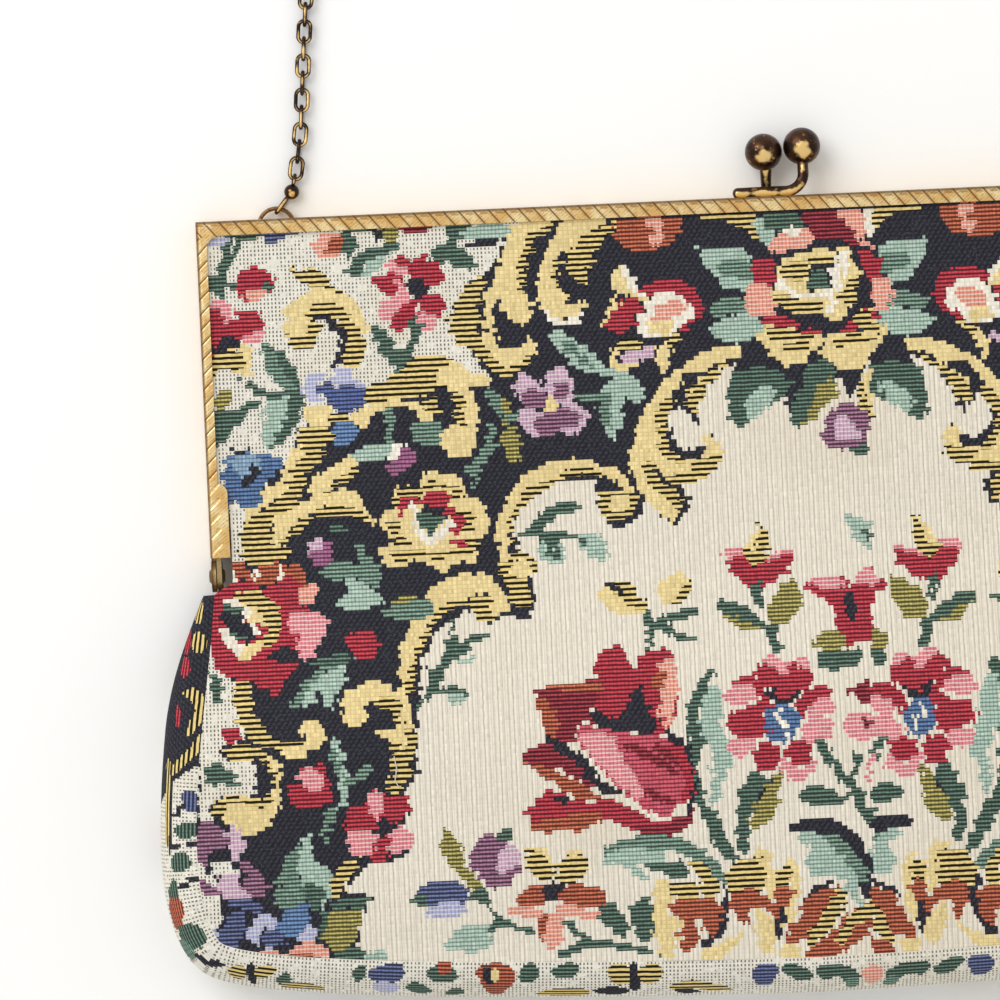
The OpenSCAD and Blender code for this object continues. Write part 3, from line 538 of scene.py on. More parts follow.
    ("gold_lined", [510, 552, 512, 532, 516, 518, 524, 508, 538, 496, 556, 484, 572, 476, 592, 474, 604,
        478, 600, 472, 580, 468, 560, 474, 540, 484, 524, 496, 512, 512, 508, 528]),
    ("gold_lined", [510, 556, 520, 550, 530, 556, 536, 566, 534, 576, 530, 584, 532, 598, 528, 606, 518,
        608, 510, 600, 512, 590, 504, 580, 496, 566, 504, 562]),
    ("gold", [514, 560, 524, 558, 530, 566, 526, 576, 516, 576, 510, 568]),
    ("black", [508, 606, 516, 612, 530, 614, 530, 618, 516, 618]),
    ("gold_lined", [596, 506, 598, 494, 608, 490, 620, 490, 628, 490, 636, 496, 638, 508, 630, 516, 616,
        520, 604, 518]),
    ("gold", [610, 506, 612, 496, 622, 494, 630, 500, 628, 510, 618, 512]),
    ("black", [606, 520, 620, 528, 632, 522, 644, 512, 644, 500, 638, 488, 642, 506, 630, 518, 616, 522]),
    ("green", [518, 536, 530, 524, 540, 512, 556, 504, 574, 502, 584, 506, 576, 512, 560, 516, 548, 526,
        532, 534]),
    ("mint", [538, 548, 546, 536, 556, 540, 562, 552, 564, 562, 554, 566, 546, 562]),
    ("mint", [578, 538, 590, 532, 600, 536, 608, 552, 604, 562, 588, 556]),
    ("green", [530, 534, 560, 532, 580, 536, 588, 546, 576, 540, 560, 538, 556, 546, 560, 560, 552, 556,
        546, 544]),
    # Tall scroll on the left of the cream, with its bud and sprig
    ("gold", [428, 592, 436, 584, 450, 578, 462, 574, 476, 574, 490, 574, 498, 584, 504, 590, 508, 602,
        506, 612, 496, 616, 488, 612, 492, 600, 486, 594, 472, 596, 458, 602, 446, 604, 440, 612, 430,
        624, 424, 636, 418, 648, 414, 664, 408, 680, 408, 694, 412, 712, 412, 728, 416, 742, 416, 752,
        410, 760, 404, 770, 398, 768, 400, 754, 396, 744, 384, 740, 378, 732, 388, 728, 398, 728, 400,
        716, 396, 704, 398, 690, 398, 672, 400, 652, 402, 636, 410, 622, 420, 616, 428, 608]),
    ("gold_lined", [434, 618, 444, 606, 460, 602, 474, 598, 490, 594, 492, 602, 486, 612, 490, 618, 478,
        620, 474, 608, 464, 604, 452, 610, 440, 620, 430, 632, 424, 646, 418, 658, 416, 672, 414, 690,
        406, 696, 404, 688, 410, 672, 414, 656, 420, 640, 428, 628]),
    ("gold_lined", [472, 600, 484, 598, 492, 606, 496, 620, 482, 620, 474, 612]),
    ("gold_lined", [370, 700, 384, 696, 396, 698, 402, 706, 400, 712, 404, 726, 396, 722, 390, 712, 380,
        706]),
    ("gold_lined", [400, 728, 412, 730, 417, 740, 416, 752, 410, 762, 412, 772, 406, 784, 400, 794, 388,
        796, 386, 786, 392, 776, 390, 764, 394, 752, 386, 746, 396, 742, 404, 752, 406, 742]),
    ("gold", [340, 700, 346, 692, 360, 686, 374, 680, 386, 684, 394, 692, 400, 698, 384, 698, 368, 702,
        370, 712, 366, 722, 358, 730, 350, 726, 344, 716]),
    ("black", [424, 656, 432, 640, 438, 628, 430, 640, 420, 660, 416, 690, 414, 712, 418, 716, 418, 700,
        420, 684]),
    ("green", [444, 640, 450, 636, 452, 618, 456, 620, 456, 644, 470, 634, 488, 632, 488, 638, 474, 644,
        466, 654, 452, 660, 446, 668, 442, 682, 438, 690, 428, 700, 418, 712, 416, 706, 424, 694, 430,
        684, 430, 670, 440, 664, 444, 654]),
    ("green", [430, 692, 440, 688, 460, 686, 468, 692, 466, 696, 450, 692, 436, 694]),
    ("mint", [446, 700, 452, 694, 470, 696, 466, 702, 452, 704]),
    ("mint", [452, 664, 468, 658, 474, 652, 470, 662, 458, 666]),
    ("sage", [384, 612, 396, 602, 410, 598, 430, 600, 436, 606, 430, 616, 416, 620, 400, 622, 390, 618]),
    ("olive", [386, 604, 396, 600, 410, 596, 420, 598, 408, 602, 394, 606]),
    # Leaves under the long scroll
    ("mint", [346, 580, 356, 578, 366, 586, 378, 594, 384, 602, 372, 606, 360, 612, 350, 610, 338, 604,
        336, 598, 348, 594]),
    ("sage", [320, 572, 332, 562, 350, 562, 362, 566, 372, 562, 380, 572, 380, 584, 374, 590, 366, 584,
        354, 576, 344, 580, 332, 580]),
    ("sage", [358, 546, 364, 544, 366, 556, 374, 562, 366, 568, 358, 560]),
    ("green", [330, 528, 340, 524, 346, 530, 334, 534]),
    ("lilac", [308, 552, 310, 542, 318, 538, 324, 544, 318, 552, 312, 556]),
    ("mauve_lit", [308, 556, 320, 548, 326, 540, 332, 546, 332, 558, 326, 566, 314, 566]),
    # Big red rose on the left edge
    ("rust", [214, 586, 222, 574, 230, 564, 240, 562, 250, 572, 262, 566, 278, 562, 290, 566, 300, 562,
        306, 570, 308, 580, 300, 590, 288, 580, 276, 582, 262, 586, 246, 580, 232, 580]),
    ("crimson", [206, 610, 211, 594, 222, 584, 238, 580, 256, 584, 266, 588, 280, 580, 292, 578, 300, 588,
        300, 600, 306, 610, 312, 616, 326, 618, 326, 630, 322, 640, 316, 650, 306, 660, 296, 652, 286,
        646, 276, 650, 270, 660, 300, 664, 292, 674, 284, 682, 276, 700, 270, 690, 260, 690, 252, 680,
        240, 680, 226, 676, 214, 664, 210, 652, 206, 636]),
    ("snow", [232, 566, 236, 580, 230, 582]),
    ("snow", [254, 562, 256, 580, 252, 576]),
    ("snow", [280, 560, 282, 580, 278, 584]),
    ("coral", [300, 590, 312, 584, 316, 596, 308, 604, 300, 600]),
    ("pink", [288, 616, 304, 612, 326, 616, 326, 634, 318, 646, 312, 658, 304, 660, 296, 650, 300, 636,
        290, 630]),
    ("gold_lined", [232, 596, 250, 590, 264, 594, 274, 602, 280, 614, 282, 626, 276, 640, 264, 648, 250,
        656, 240, 656, 244, 646, 258, 640, 268, 632, 264, 620, 252, 610, 240, 602]),
    ("gold", [240, 604, 252, 606, 262, 614, 264, 626, 256, 624, 246, 614]),
    ("snow", [224, 600, 236, 598, 244, 608, 250, 620, 262, 632, 256, 634, 244, 624, 238, 612, 226, 606]),
    ("black", [220, 612, 236, 610, 246, 622, 256, 634, 250, 642, 236, 638, 226, 626]),
    ("green", [222, 606, 236, 606, 240, 612, 226, 614]),
    ("green", [232, 630, 248, 636, 244, 642, 234, 638]),
    ("snow", [220, 632, 230, 630, 234, 640, 246, 648, 240, 656, 228, 650]),
    ("gold", [238, 654, 250, 644, 262, 646, 256, 656, 244, 660]),
    ("green", [208, 672, 218, 676, 224, 690, 222, 702, 214, 702, 210, 688]),
    # Ball, leaf and scrolls under the rose
    ("crimson", [350, 636, 356, 632, 370, 632, 378, 638, 380, 650, 374, 658, 360, 660, 352, 654, 349,
        646]),
    ("mint", [300, 708, 304, 696, 314, 684, 324, 674, 338, 666, 346, 664, 342, 676, 340, 690, 334, 704,
        328, 712, 322, 700, 316, 692, 310, 704]),
    ("sage", [288, 706, 296, 694, 304, 684, 312, 676, 320, 664, 332, 656, 346, 654, 352, 660, 340, 666,
        326, 672, 314, 684, 302, 698, 294, 708]),
    ("green", [306, 664, 330, 656, 346, 652, 350, 662, 330, 664]),
    ("gold_lined", [232, 684, 240, 680, 248, 682, 250, 694, 252, 706, 256, 716, 262, 726, 272, 736, 284,
        742, 300, 742, 306, 738, 300, 746, 286, 750, 270, 748, 256, 742, 246, 734, 240, 722, 236, 706]),
    ("gold", [296, 730, 302, 722, 308, 720, 316, 724, 322, 732, 324, 740, 318, 748, 310, 752, 300, 758,
        288, 758, 280, 752, 290, 748, 300, 744, 304, 736]),
    ("gold_lined", [224, 752, 236, 746, 250, 746, 262, 750, 270, 756, 276, 766, 280, 776, 280, 796, 276,
        806, 264, 800, 272, 790, 272, 776, 266, 764, 254, 758, 240, 762, 228, 758]),
    ("gold", [266, 754, 276, 760, 281, 772, 281, 798, 276, 812, 270, 824, 262, 832, 250, 838, 240, 834,
        230, 824, 220, 818, 213, 812, 216, 804, 226, 796, 244, 794, 252, 800, 268, 802, 274, 790, 274,
        772]),
    ("gold_lined", [213, 808, 222, 800, 236, 796, 248, 800, 262, 800, 272, 802, 266, 808, 252, 808, 240,
        804, 226, 806, 224, 816, 214, 818]),
    ("crimson", [220, 734, 226, 728, 234, 726, 240, 732, 240, 740, 232, 745, 224, 742]),
    ("green", [204, 770, 212, 762, 222, 764, 232, 772, 238, 782, 234, 788, 222, 784, 212, 788, 206, 780]),
    ("crimson", [288, 796, 292, 786, 300, 782, 296, 770, 304, 768, 314, 766, 320, 762, 326, 770, 330, 780,
        335, 788, 332, 798, 324, 806, 310, 808, 300, 808, 292, 804]),
    ("pink", [298, 772, 312, 768, 322, 776, 324, 788, 312, 790, 302, 786]),
    ("mint", [332, 736, 338, 744, 344, 756, 348, 770, 346, 790, 346, 802, 338, 808, 332, 822, 328, 832,
        334, 810, 340, 796, 340, 776, 336, 760]),
    ("sage", [330, 752, 336, 748, 340, 764, 340, 778, 334, 770]),
    ("sage", [324, 812, 334, 808, 338, 818, 330, 830, 326, 846, 322, 834]),
    ("sage", [346, 784, 356, 772, 366, 764, 372, 770, 362, 778, 352, 788]),
    ("crimson", [346, 822, 350, 808, 362, 806, 372, 800, 372, 790, 380, 794, 396, 796, 408, 794, 411, 806,
        404, 818, 394, 824, 380, 830, 364, 830, 350, 834]),
    ("pink", [368, 796, 376, 790, 382, 796, 382, 812, 376, 820, 370, 812]),
    ("pink", [348, 838, 360, 830, 374, 832, 380, 842, 374, 852, 362, 856, 352, 852]),
    ("crimson", [374, 846, 384, 834, 392, 838, 390, 856, 380, 862, 372, 860]),
    ("pink", [390, 832, 404, 826, 411, 834, 411, 848, 400, 852, 390, 850]),
    ("black", [378, 822, 388, 818, 392, 826, 386, 834, 380, 830]),
    # Along the bottom on the left
    ("gold_lined", [332, 880, 340, 868, 352, 858, 366, 856, 360, 866, 350, 876, 344, 888, 340, 898, 332,
        900]),
    ("green", [330, 902, 346, 896, 366, 896, 370, 902, 362, 908, 346, 908, 332, 912]),
    ("olive", [322, 930, 326, 916, 340, 910, 362, 910, 362, 922, 356, 936, 350, 946, 340, 952, 330, 950,
        322, 940]),
    ("green", [318, 928, 322, 912, 332, 910, 326, 924, 320, 940]),
    ("sage", [274, 900, 278, 880, 284, 862, 292, 850, 300, 842, 302, 856, 298, 872, 304, 886, 308, 900,
        300, 908, 286, 912, 276, 910]),
    ("mint", [302, 848, 306, 832, 310, 838, 314, 848, 316, 858, 324, 866, 330, 874, 332, 886, 328, 900,
        322, 912, 322, 896, 316, 884, 308, 888, 302, 880, 298, 868]),
    ("green", [306, 886, 318, 884, 322, 896, 320, 910, 312, 910, 308, 900]),
    ("white", [190, 850, 205, 866, 212, 880, 222, 906, 214, 936, 196, 952, 186, 930, 184, 880]),
    ("mauve", [198, 826, 210, 822, 224, 828, 230, 836, 228, 846, 214, 850, 206, 860, 210, 866, 202, 864,
        194, 854, 198, 842]),
    ("lilac", [228, 832, 234, 826, 240, 832, 244, 844, 240, 856, 236, 862, 230, 852]),
    ("black", [212, 852, 226, 850, 232, 862, 224, 858, 214, 862]),
    ("mauve", [240, 866, 246, 860, 256, 868, 264, 878, 268, 888, 262, 898, 254, 898, 244, 890, 244, 876]),
    ("lilac", [218, 874, 232, 872, 240, 884, 248, 892, 252, 900, 236, 898, 220, 896, 214, 888]),
    ("white", [212, 862, 230, 862, 238, 872, 230, 872, 216, 874]),
    ("mauve", [194, 878, 204, 882, 216, 888, 222, 896, 206, 894, 196, 890]),
    ("navy", [222, 930, 230, 914, 240, 912, 246, 922, 244, 934, 238, 944, 230, 950, 216, 946, 210, 938]),
    ("lavender", [200, 940, 208, 930, 218, 930, 214, 938, 220, 946, 234, 948, 236, 954, 226, 956, 210,
        950, 204, 946]),
    ("lavender", [246, 938, 248, 928, 258, 918, 266, 914, 276, 920, 280, 930, 268, 928, 260, 936, 262,
        946, 276, 948, 268, 950, 256, 946]),
    ("navy", [262, 936, 270, 930, 280, 932, 284, 942, 276, 948, 266, 946]),
    ("blue", [278, 928, 284, 912, 296, 906, 308, 904, 310, 920, 300, 930, 292, 938, 284, 936]),
    ("lavender", [296, 936, 308, 926, 316, 934, 312, 944, 300, 944]),
    ("navy", [228, 902, 246, 900, 262, 902, 260, 912, 246, 912, 236, 908]),
    ("coral", [254, 958, 262, 950, 278, 952, 290, 954, 298, 944, 312, 942, 322, 946, 328, 954, 324, 964,
        304, 966, 280, 964, 262, 964]),
    ("rust", [270, 960, 284, 956, 300, 954, 318, 956, 312, 964, 290, 964]),
    ("green", [332, 958, 344, 948, 358, 948, 366, 954, 352, 962, 340, 966]),
    ("mint", [360, 958, 376, 950, 388, 956, 384, 964, 366, 964]),
    ("green", [184, 930, 198, 928, 206, 934, 196, 944, 186, 940]),
    # Tulip on the cream
    ("crimson", [596, 700, 596, 664, 602, 652, 612, 648, 618, 642, 624, 648, 628, 662, 634, 668, 638, 658,
        650, 652, 662, 648, 672, 650, 676, 660, 676, 690, 678, 712, 668, 728, 656, 732, 648, 720, 640,
        712, 626, 714, 616, 722, 604, 716]),
    ("maroon", [532, 692, 545, 688, 560, 684, 580, 682, 596, 680, 600, 700, 590, 712, 596, 724, 580, 722,
        574, 730, 578, 742, 562, 742, 546, 738, 556, 730, 550, 716, 546, 704, 540, 698]),
    ("rust", [536, 700, 548, 700, 556, 714, 560, 730, 552, 738, 544, 728, 542, 712]),
    ("rust", [550, 684, 580, 682, 600, 682, 600, 690, 580, 690, 556, 690]),
    ("coral", [660, 664, 676, 660, 678, 680, 676, 700, 672, 720, 664, 728, 660, 712, 662, 690]),
    ("rust", [652, 676, 664, 672, 662, 690, 652, 686]),
    ("black", [590, 712, 600, 710, 612, 718, 622, 712, 628, 700, 634, 690, 642, 686, 646, 700, 652, 714,
        660, 730, 648, 734, 632, 730, 620, 734, 606, 728, 596, 722]),
    ("rose", [576, 730, 590, 726, 610, 730, 636, 734, 660, 736, 676, 742, 684, 760, 688, 780, 682, 800,
        672, 812, 660, 816, 644, 808, 628, 796, 612, 782, 596, 764, 584, 748]),
    ("pink", [580, 734, 604, 732, 616, 744, 622, 758, 634, 774, 644, 790, 640, 800, 624, 788, 606, 772,
        592, 756]),
    ("maroon", [618, 743, 634, 744, 652, 752, 670, 764, 678, 776, 664, 770, 646, 760, 630, 752]),
    ("maroon", [648, 742, 664, 746, 676, 756, 684, 772, 672, 762, 658, 752]),
    ("maroon", [642, 786, 654, 792, 668, 798, 674, 804, 660, 802, 648, 796]),
    ("crimson", [676, 738, 688, 746, 694, 762, 696, 784, 690, 798, 680, 806, 684, 786, 680, 764, 670,
        748]),
    ("snow", [586, 756, 600, 772, 616, 788, 634, 802, 652, 814, 664, 818, 654, 820, 634, 808, 612, 792,
        594, 774]),
    ("maroon", [520, 758, 530, 748, 548, 744, 562, 746, 576, 754, 586, 766, 598, 780, 606, 788, 590, 788,
        574, 778, 556, 768, 540, 766]),
    ("rust", [524, 762, 540, 766, 560, 774, 576, 780, 590, 790, 600, 798, 580, 800, 566, 792, 552, 782,
        540, 774]),
    ("black", [576, 750, 590, 762, 600, 778, 612, 786, 622, 794, 610, 796, 596, 788, 584, 772]),
    ("crimson", [530, 822, 528, 810, 538, 800, 548, 790, 560, 792, 572, 800, 590, 802, 610, 800, 630, 806,
        644, 816, 660, 822, 680, 818, 672, 828, 650, 834, 634, 832, 616, 824, 600, 818, 580, 816, 560,
        818, 544, 824]),
    ("rust", [528, 826, 544, 820, 566, 816, 590, 812, 606, 816, 596, 824, 580, 832, 560, 828, 548, 834]),
    ("black", [556, 796, 572, 800, 560, 806]),
    ("maroon", [640, 828, 664, 826, 684, 816, 690, 800, 694, 812, 684, 830, 664, 838, 648, 838]),
    ("black", [662, 728, 680, 738, 692, 746, 700, 764, 701, 788, 694, 804, 684, 818, 690, 800, 694, 782,
        691, 764, 684, 750, 672, 742]),
    ("black", [545, 737, 556, 738, 566, 746, 577, 756, 586, 766, 576, 764, 564, 754, 552, 746]),
    # Leaf to the right of the tulip
    ("green", [686, 728, 688, 706, 694, 690, 702, 676, 708, 668, 714, 676, 706, 690, 700, 706, 698, 724,
        706, 742, 700, 756, 702, 780, 706, 800, 712, 810, 700, 812, 696, 790, 694, 764, 690, 744]),
    ("mint", [700, 716, 704, 696, 710, 684, 718, 690, 722, 706, 720, 724, 726, 736, 732, 750, 732, 762,
        724, 776, 720, 800, 714, 806, 710, 784, 712, 764, 708, 744, 700, 730]),
    ("green", [700, 812, 714, 810, 722, 826, 730, 844, 738, 856, 730, 862, 718, 848, 706, 830]),
    # Daisy
    ("crimson", [756, 672, 758, 664, 766, 658, 776, 662, 784, 668, 794, 662, 806, 660, 812, 670, 810, 684,
        800, 690, 790, 698, 780, 702, 770, 690, 760, 684]),
    ("pink", [762, 660, 772, 654, 784, 660, 790, 666, 784, 676, 774, 668]),
    ("pink", [796, 656, 806, 658, 810, 668, 800, 668]),
    ("pink", [724, 698, 732, 686, 744, 680, 758, 680, 762, 694, 752, 700, 736, 706]),
    ("crimson", [730, 684, 744, 676, 758, 680, 768, 694, 774, 708, 760, 712, 750, 708, 760, 700, 756, 688,
        744, 684]),
    ("crimson", [726, 722, 730, 712, 744, 708, 760, 712, 766, 724, 764, 738, 752, 740, 738, 738, 730,
        732]),
    ("pink", [728, 742, 742, 738, 754, 740, 752, 752, 740, 758, 730, 752]),
    ("crimson", [752, 762, 756, 748, 768, 742, 778, 748, 780, 760, 772, 772, 758, 770]),
    ("crimson", [784, 752, 794, 742, 808, 740, 812, 750, 806, 764, 794, 766]),
    ("pink", [780, 758, 788, 762, 800, 768, 812, 758, 816, 768, 806, 778, 792, 782, 782, 774]),
    ("pink", [800, 734, 808, 722, 824, 716, 834, 720, 836, 732, 828, 740, 812, 742, 802, 740]),
    ("crimson", [796, 702, 808, 690, 820, 684, 832, 690, 834, 700, 822, 700, 806, 712, 800, 720]),
    ("pink", [806, 716, 814, 702, 832, 698, 834, 712, 824, 716, 812, 722]),
    ("black", [768, 690, 776, 690, 782, 700, 796, 692, 800, 690, 792, 704, 776, 704]),
    ("blue_lined", [764, 722, 770, 708, 780, 702, 792, 706, 798, 718, 796, 732, 788, 742, 776, 742, 768,
        734]),
    ("snow", [778, 710, 782, 710, 782, 722, 778, 722]),
    ("snow", [784, 722, 788, 722, 788, 734, 784, 734]),
    # Stems and leaves under the daisy
    ("green", [738, 800, 744, 784, 752, 772, 766, 776, 764, 792, 756, 806, 748, 820, 750, 846, 740, 852,
        736, 830]),
    ("olive", [752, 812, 760, 796, 768, 780, 780, 772, 780, 792, 776, 812, 768, 822, 756, 830, 750, 826]),
    ("black", [756, 800, 766, 784, 770, 778, 764, 796]),
    ("green", [816, 742, 828, 744, 834, 756, 842, 768, 846, 778, 852, 770, 850, 756, 856, 752, 860, 762,
        856, 776, 862, 792, 868, 806, 876, 812, 878, 826, 866, 820, 856, 806, 850, 792, 840, 780, 828,
        764]),
    ("green", [798, 796, 806, 788, 820, 786, 834, 790, 846, 798, 836, 806, 818, 806, 806, 804]),
    ("black", [786, 828, 800, 820, 820, 818, 840, 822, 854, 832, 866, 846, 874, 862, 880, 880, 872, 900,
        862, 890, 856, 872, 846, 856, 832, 842, 814, 832, 796, 832]),
    ("mint", [798, 836, 814, 832, 832, 842, 846, 858, 856, 876, 862, 896, 868, 906, 856, 904, 846, 890,
        840, 878, 826, 878, 812, 876, 806, 860, 812, 848]),
    ("sage", [820, 834, 838, 836, 852, 846, 862, 862, 868, 878, 860, 880, 848, 862, 834, 848]),
    ("sage", [602, 856, 612, 846, 628, 838, 650, 836, 676, 836, 696, 844, 712, 856, 722, 868, 726, 884,
        716, 880, 704, 866, 690, 858, 676, 852, 650, 850, 624, 850]),
    ("mint", [600, 862, 612, 852, 632, 848, 654, 850, 668, 856, 660, 866, 644, 864, 640, 872, 650, 878,
        636, 878, 622, 866]),
    ("green", [644, 866, 664, 862, 684, 860, 690, 870, 680, 880, 664, 874]),
    # Yellow and rust flower at the bottom
    ("black", [724, 880, 728, 896, 730, 912, 724, 930, 716, 944, 704, 946, 712, 930, 722, 914, 722, 896]),
    ("black", [776, 912, 786, 908, 784, 926, 776, 944, 770, 930]),
    ("black", [802, 898, 816, 886, 834, 880, 824, 888, 808, 900]),
    ("gold", [654, 880, 668, 880, 672, 890, 672, 904, 670, 914, 680, 922, 676, 934, 676, 950, 680, 958,
        664, 958, 656, 944, 654, 924, 654, 900]),
    ("gold_lined", [670, 886, 684, 882, 700, 884, 700, 900, 690, 906, 676, 900]),
    ("gold_lined", [690, 862, 704, 862, 714, 876, 718, 890, 712, 902, 702, 892, 700, 878]),
    ("rust", [672, 902, 690, 900, 704, 898, 718, 900, 724, 912, 720, 926, 712, 938, 706, 930, 700, 918,
        688, 922, 676, 916]),
    ("rust", [682, 924, 694, 920, 700, 934, 698, 946, 690, 954, 682, 944]),
    ("gold_lined", [726, 876, 736, 862, 750, 858, 762, 854, 764, 866, 764, 882, 760, 900, 748, 904, 736,
        904, 728, 892]),
    ("rust", [730, 900, 744, 890, 762, 892, 772, 902, 780, 908, 776, 920, 768, 912, 756, 906, 748, 914,
        746, 928, 738, 920, 732, 910]),
    ("gold", [752, 850, 766, 848, 772, 862, 776, 880, 772, 898, 764, 890, 764, 870, 758, 856]),
    ("gold", [786, 858, 798, 862, 800, 880, 798, 900, 790, 922, 784, 930, 786, 910, 792, 890, 790, 872]),
    ("gold_lined", [776, 872, 786, 866, 792, 872, 790, 886, 780, 890, 774, 882]),
    ("rust", [774, 892, 786, 884, 792, 892, 788, 904, 778, 908]),
    ("gold", [754, 910, 764, 912, 774, 924, 778, 940, 770, 952, 760, 946, 756, 930]),
    ("gold", [782, 944, 800, 944, 800, 958, 782, 958]),
    ("gold", [722, 944, 736, 936, 742, 930, 740, 944, 726, 956, 706, 958, 700, 952]),
    ("rust", [784, 940, 790, 926, 800, 914, 806, 900, 818, 892, 832, 888, 840, 886, 836, 900, 826, 914,
        818, 928, 806, 938, 796, 942]),
    ("gold_lined", [818, 920, 828, 902, 838, 888, 844, 888, 846, 904, 838, 920, 826, 932, 814, 948, 808,
        946, 810, 934]),
    ("rust", [824, 940, 836, 926, 848, 914, 858, 906, 866, 912, 872, 924, 866, 938, 850, 946, 836, 956,
        822, 958, 806, 956, 812, 946]),
    ("gold_lined", [850, 914, 862, 906, 878, 902, 880, 914, 866, 918, 852, 930, 842, 946, 836, 940]),
    # Small bunch at the bottom
    ("mauve", [470, 852, 476, 842, 484, 836, 498, 834, 506, 844, 500, 856, 496, 868, 504, 880, 500, 888,
        490, 888, 480, 876, 472, 866]),
    ("mauve", [500, 876, 512, 868, 520, 862, 520, 872, 512, 884, 502, 886]),
    ("lilac", [496, 862, 502, 848, 512, 844, 520, 852, 520, 862, 510, 868, 500, 874, 494, 870]),
    ("green", [500, 838, 506, 830, 512, 830, 512, 838, 504, 842]),
    ("olive", [440, 826, 448, 832, 456, 842, 462, 852, 466, 864, 474, 874, 482, 884, 482, 892, 472, 890,
        462, 878, 450, 866, 442, 854, 442, 840]),
    ("green", [470, 896, 486, 888, 490, 904, 496, 914, 508, 920, 524, 926, 536, 930, 536, 936, 520, 932,
        502, 926, 490, 932, 478, 940, 470, 944, 474, 934, 490, 924, 494, 918, 486, 906]),
    ("navy", [414, 898, 422, 888, 436, 880, 452, 880, 462, 886, 470, 896, 466, 904, 452, 902, 438, 906,
        424, 904]),
    ("lavender", [424, 910, 438, 904, 452, 902, 464, 904, 468, 910, 460, 916, 446, 920, 432, 918]),
    ("green", [412, 898, 424, 892, 426, 906, 416, 904]),
    ("mint", [446, 950, 452, 934, 464, 926, 484, 924, 490, 934, 492, 948, 476, 952, 458, 952]),
    ("gold_lined", [528, 868, 528, 852, 536, 848, 546, 852, 550, 862, 556, 876, 546, 880, 534, 874]),
    ("gold", [532, 848, 540, 846, 548, 854, 550, 862, 542, 854]),
    ("gold_lined", [558, 866, 566, 856, 578, 852, 586, 862, 586, 874, 576, 882, 564, 884, 558, 876]),
    ("gold", [564, 852, 574, 848, 580, 852, 570, 858]),
    ("rust", [516, 904, 522, 890, 534, 884, 544, 888, 552, 898, 546, 906, 534, 906, 522, 908]),
    ("rust", [560, 900, 562, 890, 576, 884, 596, 888, 606, 894, 600, 906, 580, 908, 566, 908]),
    ("coral", [504, 910, 520, 908, 540, 908, 546, 918, 530, 918, 514, 916]),
    ("coral", [552, 908, 566, 904, 590, 910, 604, 912, 600, 920, 580, 918, 566, 916]),
    ("rust", [538, 922, 546, 914, 550, 926, 546, 940, 540, 938]),
    ("coral", [548, 916, 564, 914, 566, 928, 560, 944, 552, 950, 546, 944]),
    ("black", [544, 886, 556, 882, 564, 886, 560, 896, 552, 900, 544, 894]),
    ("green", [600, 906, 612, 904, 624, 914, 628, 930, 626, 940, 616, 934, 606, 922]),
    ("green", [634, 904, 644, 894, 652, 904, 654, 920, 652, 940, 644, 944, 634, 932, 630, 918]),
    ("green", [560, 950, 580, 942, 600, 940, 626, 944, 650, 948, 660, 956, 640, 954, 620, 950, 596, 948,
        570, 956, 556, 958]),
    ("green", [564, 920, 574, 922, 582, 932, 590, 940, 580, 938, 570, 930]),
    # Top right: apricot flower, leaves, yellow rose
    ("rust", [614, 232, 616, 222, 630, 218, 660, 216, 682, 218, 680, 230, 676, 242, 664, 248, 644, 250,
        628, 250, 618, 242]),
    ("coral", [646, 222, 660, 218, 664, 226, 654, 230]),
    ("coral", [648, 236, 660, 232, 664, 240, 654, 246]),
    ("gold_lined", [700, 218, 724, 212, 750, 214, 752, 224, 758, 236, 750, 236, 738, 226, 722, 220]),
    ("mint", [698, 244, 704, 250, 716, 248, 736, 248, 750, 252, 752, 266, 752, 282, 748, 292, 740, 288,
        728, 290, 718, 280, 710, 272, 702, 262]),
    ("sage", [722, 262, 740, 258, 752, 264, 752, 280, 738, 278, 724, 274]),
    ("sage", [708, 312, 716, 302, 738, 298, 750, 306, 752, 314, 734, 314, 720, 318]),
    ("mint", [708, 330, 720, 320, 744, 314, 760, 320, 764, 332, 752, 340, 738, 344, 724, 340]),
    ("green", [758, 216, 780, 212, 800, 212, 800, 226, 788, 232, 772, 230, 764, 224]),
    ("mint", [750, 222, 760, 218, 766, 228, 774, 238, 776, 250, 764, 244, 756, 234]),
    ("maroon", [802, 214, 830, 210, 846, 212, 850, 222, 858, 236, 862, 246, 846, 242, 830, 238, 816, 240,
        806, 226]),
    ("coral", [836, 212, 860, 210, 866, 218, 864, 240, 876, 240, 880, 252, 862, 244, 852, 228]),
    ("snow", [864, 212, 874, 210, 872, 236, 866, 238]),
    ("coral", [770, 244, 778, 234, 792, 228, 808, 228, 816, 238, 810, 246, 796, 248, 782, 252, 772, 256]),
    ("snow", [782, 232, 796, 226, 806, 230, 796, 236]),
    ("crimson", [752, 262, 764, 258, 776, 258, 774, 272, 772, 286, 756, 284, 752, 274]),
    ("coral", [744, 298, 750, 284, 764, 284, 774, 290, 774, 304, 776, 314, 760, 318, 748, 310]),
    ("crimson", [760, 322, 776, 314, 790, 318, 800, 324, 790, 332, 776, 328]),
    ("crimson", [862, 252, 880, 250, 880, 300, 872, 296, 870, 280, 862, 266]),
    ("crimson", [840, 330, 852, 318, 864, 308, 872, 306, 862, 320, 850, 334]),
    ("gold", [776, 284, 776, 270, 784, 258, 800, 254, 812, 250, 826, 246, 836, 254, 842, 248, 850, 248,
        854, 262, 860, 272, 858, 290, 852, 304, 846, 314, 836, 322, 824, 316, 812, 312, 796, 314, 780,
        306, 774, 296]),
    ("gold_lined", [780, 272, 792, 262, 806, 262, 808, 274, 796, 280]),
    ("gold_lined", [808, 258, 830, 254, 838, 262, 824, 266, 812, 266]),
    ("gold_lined", [774, 298, 790, 294, 806, 302, 824, 304, 818, 314, 800, 314, 782, 308]),
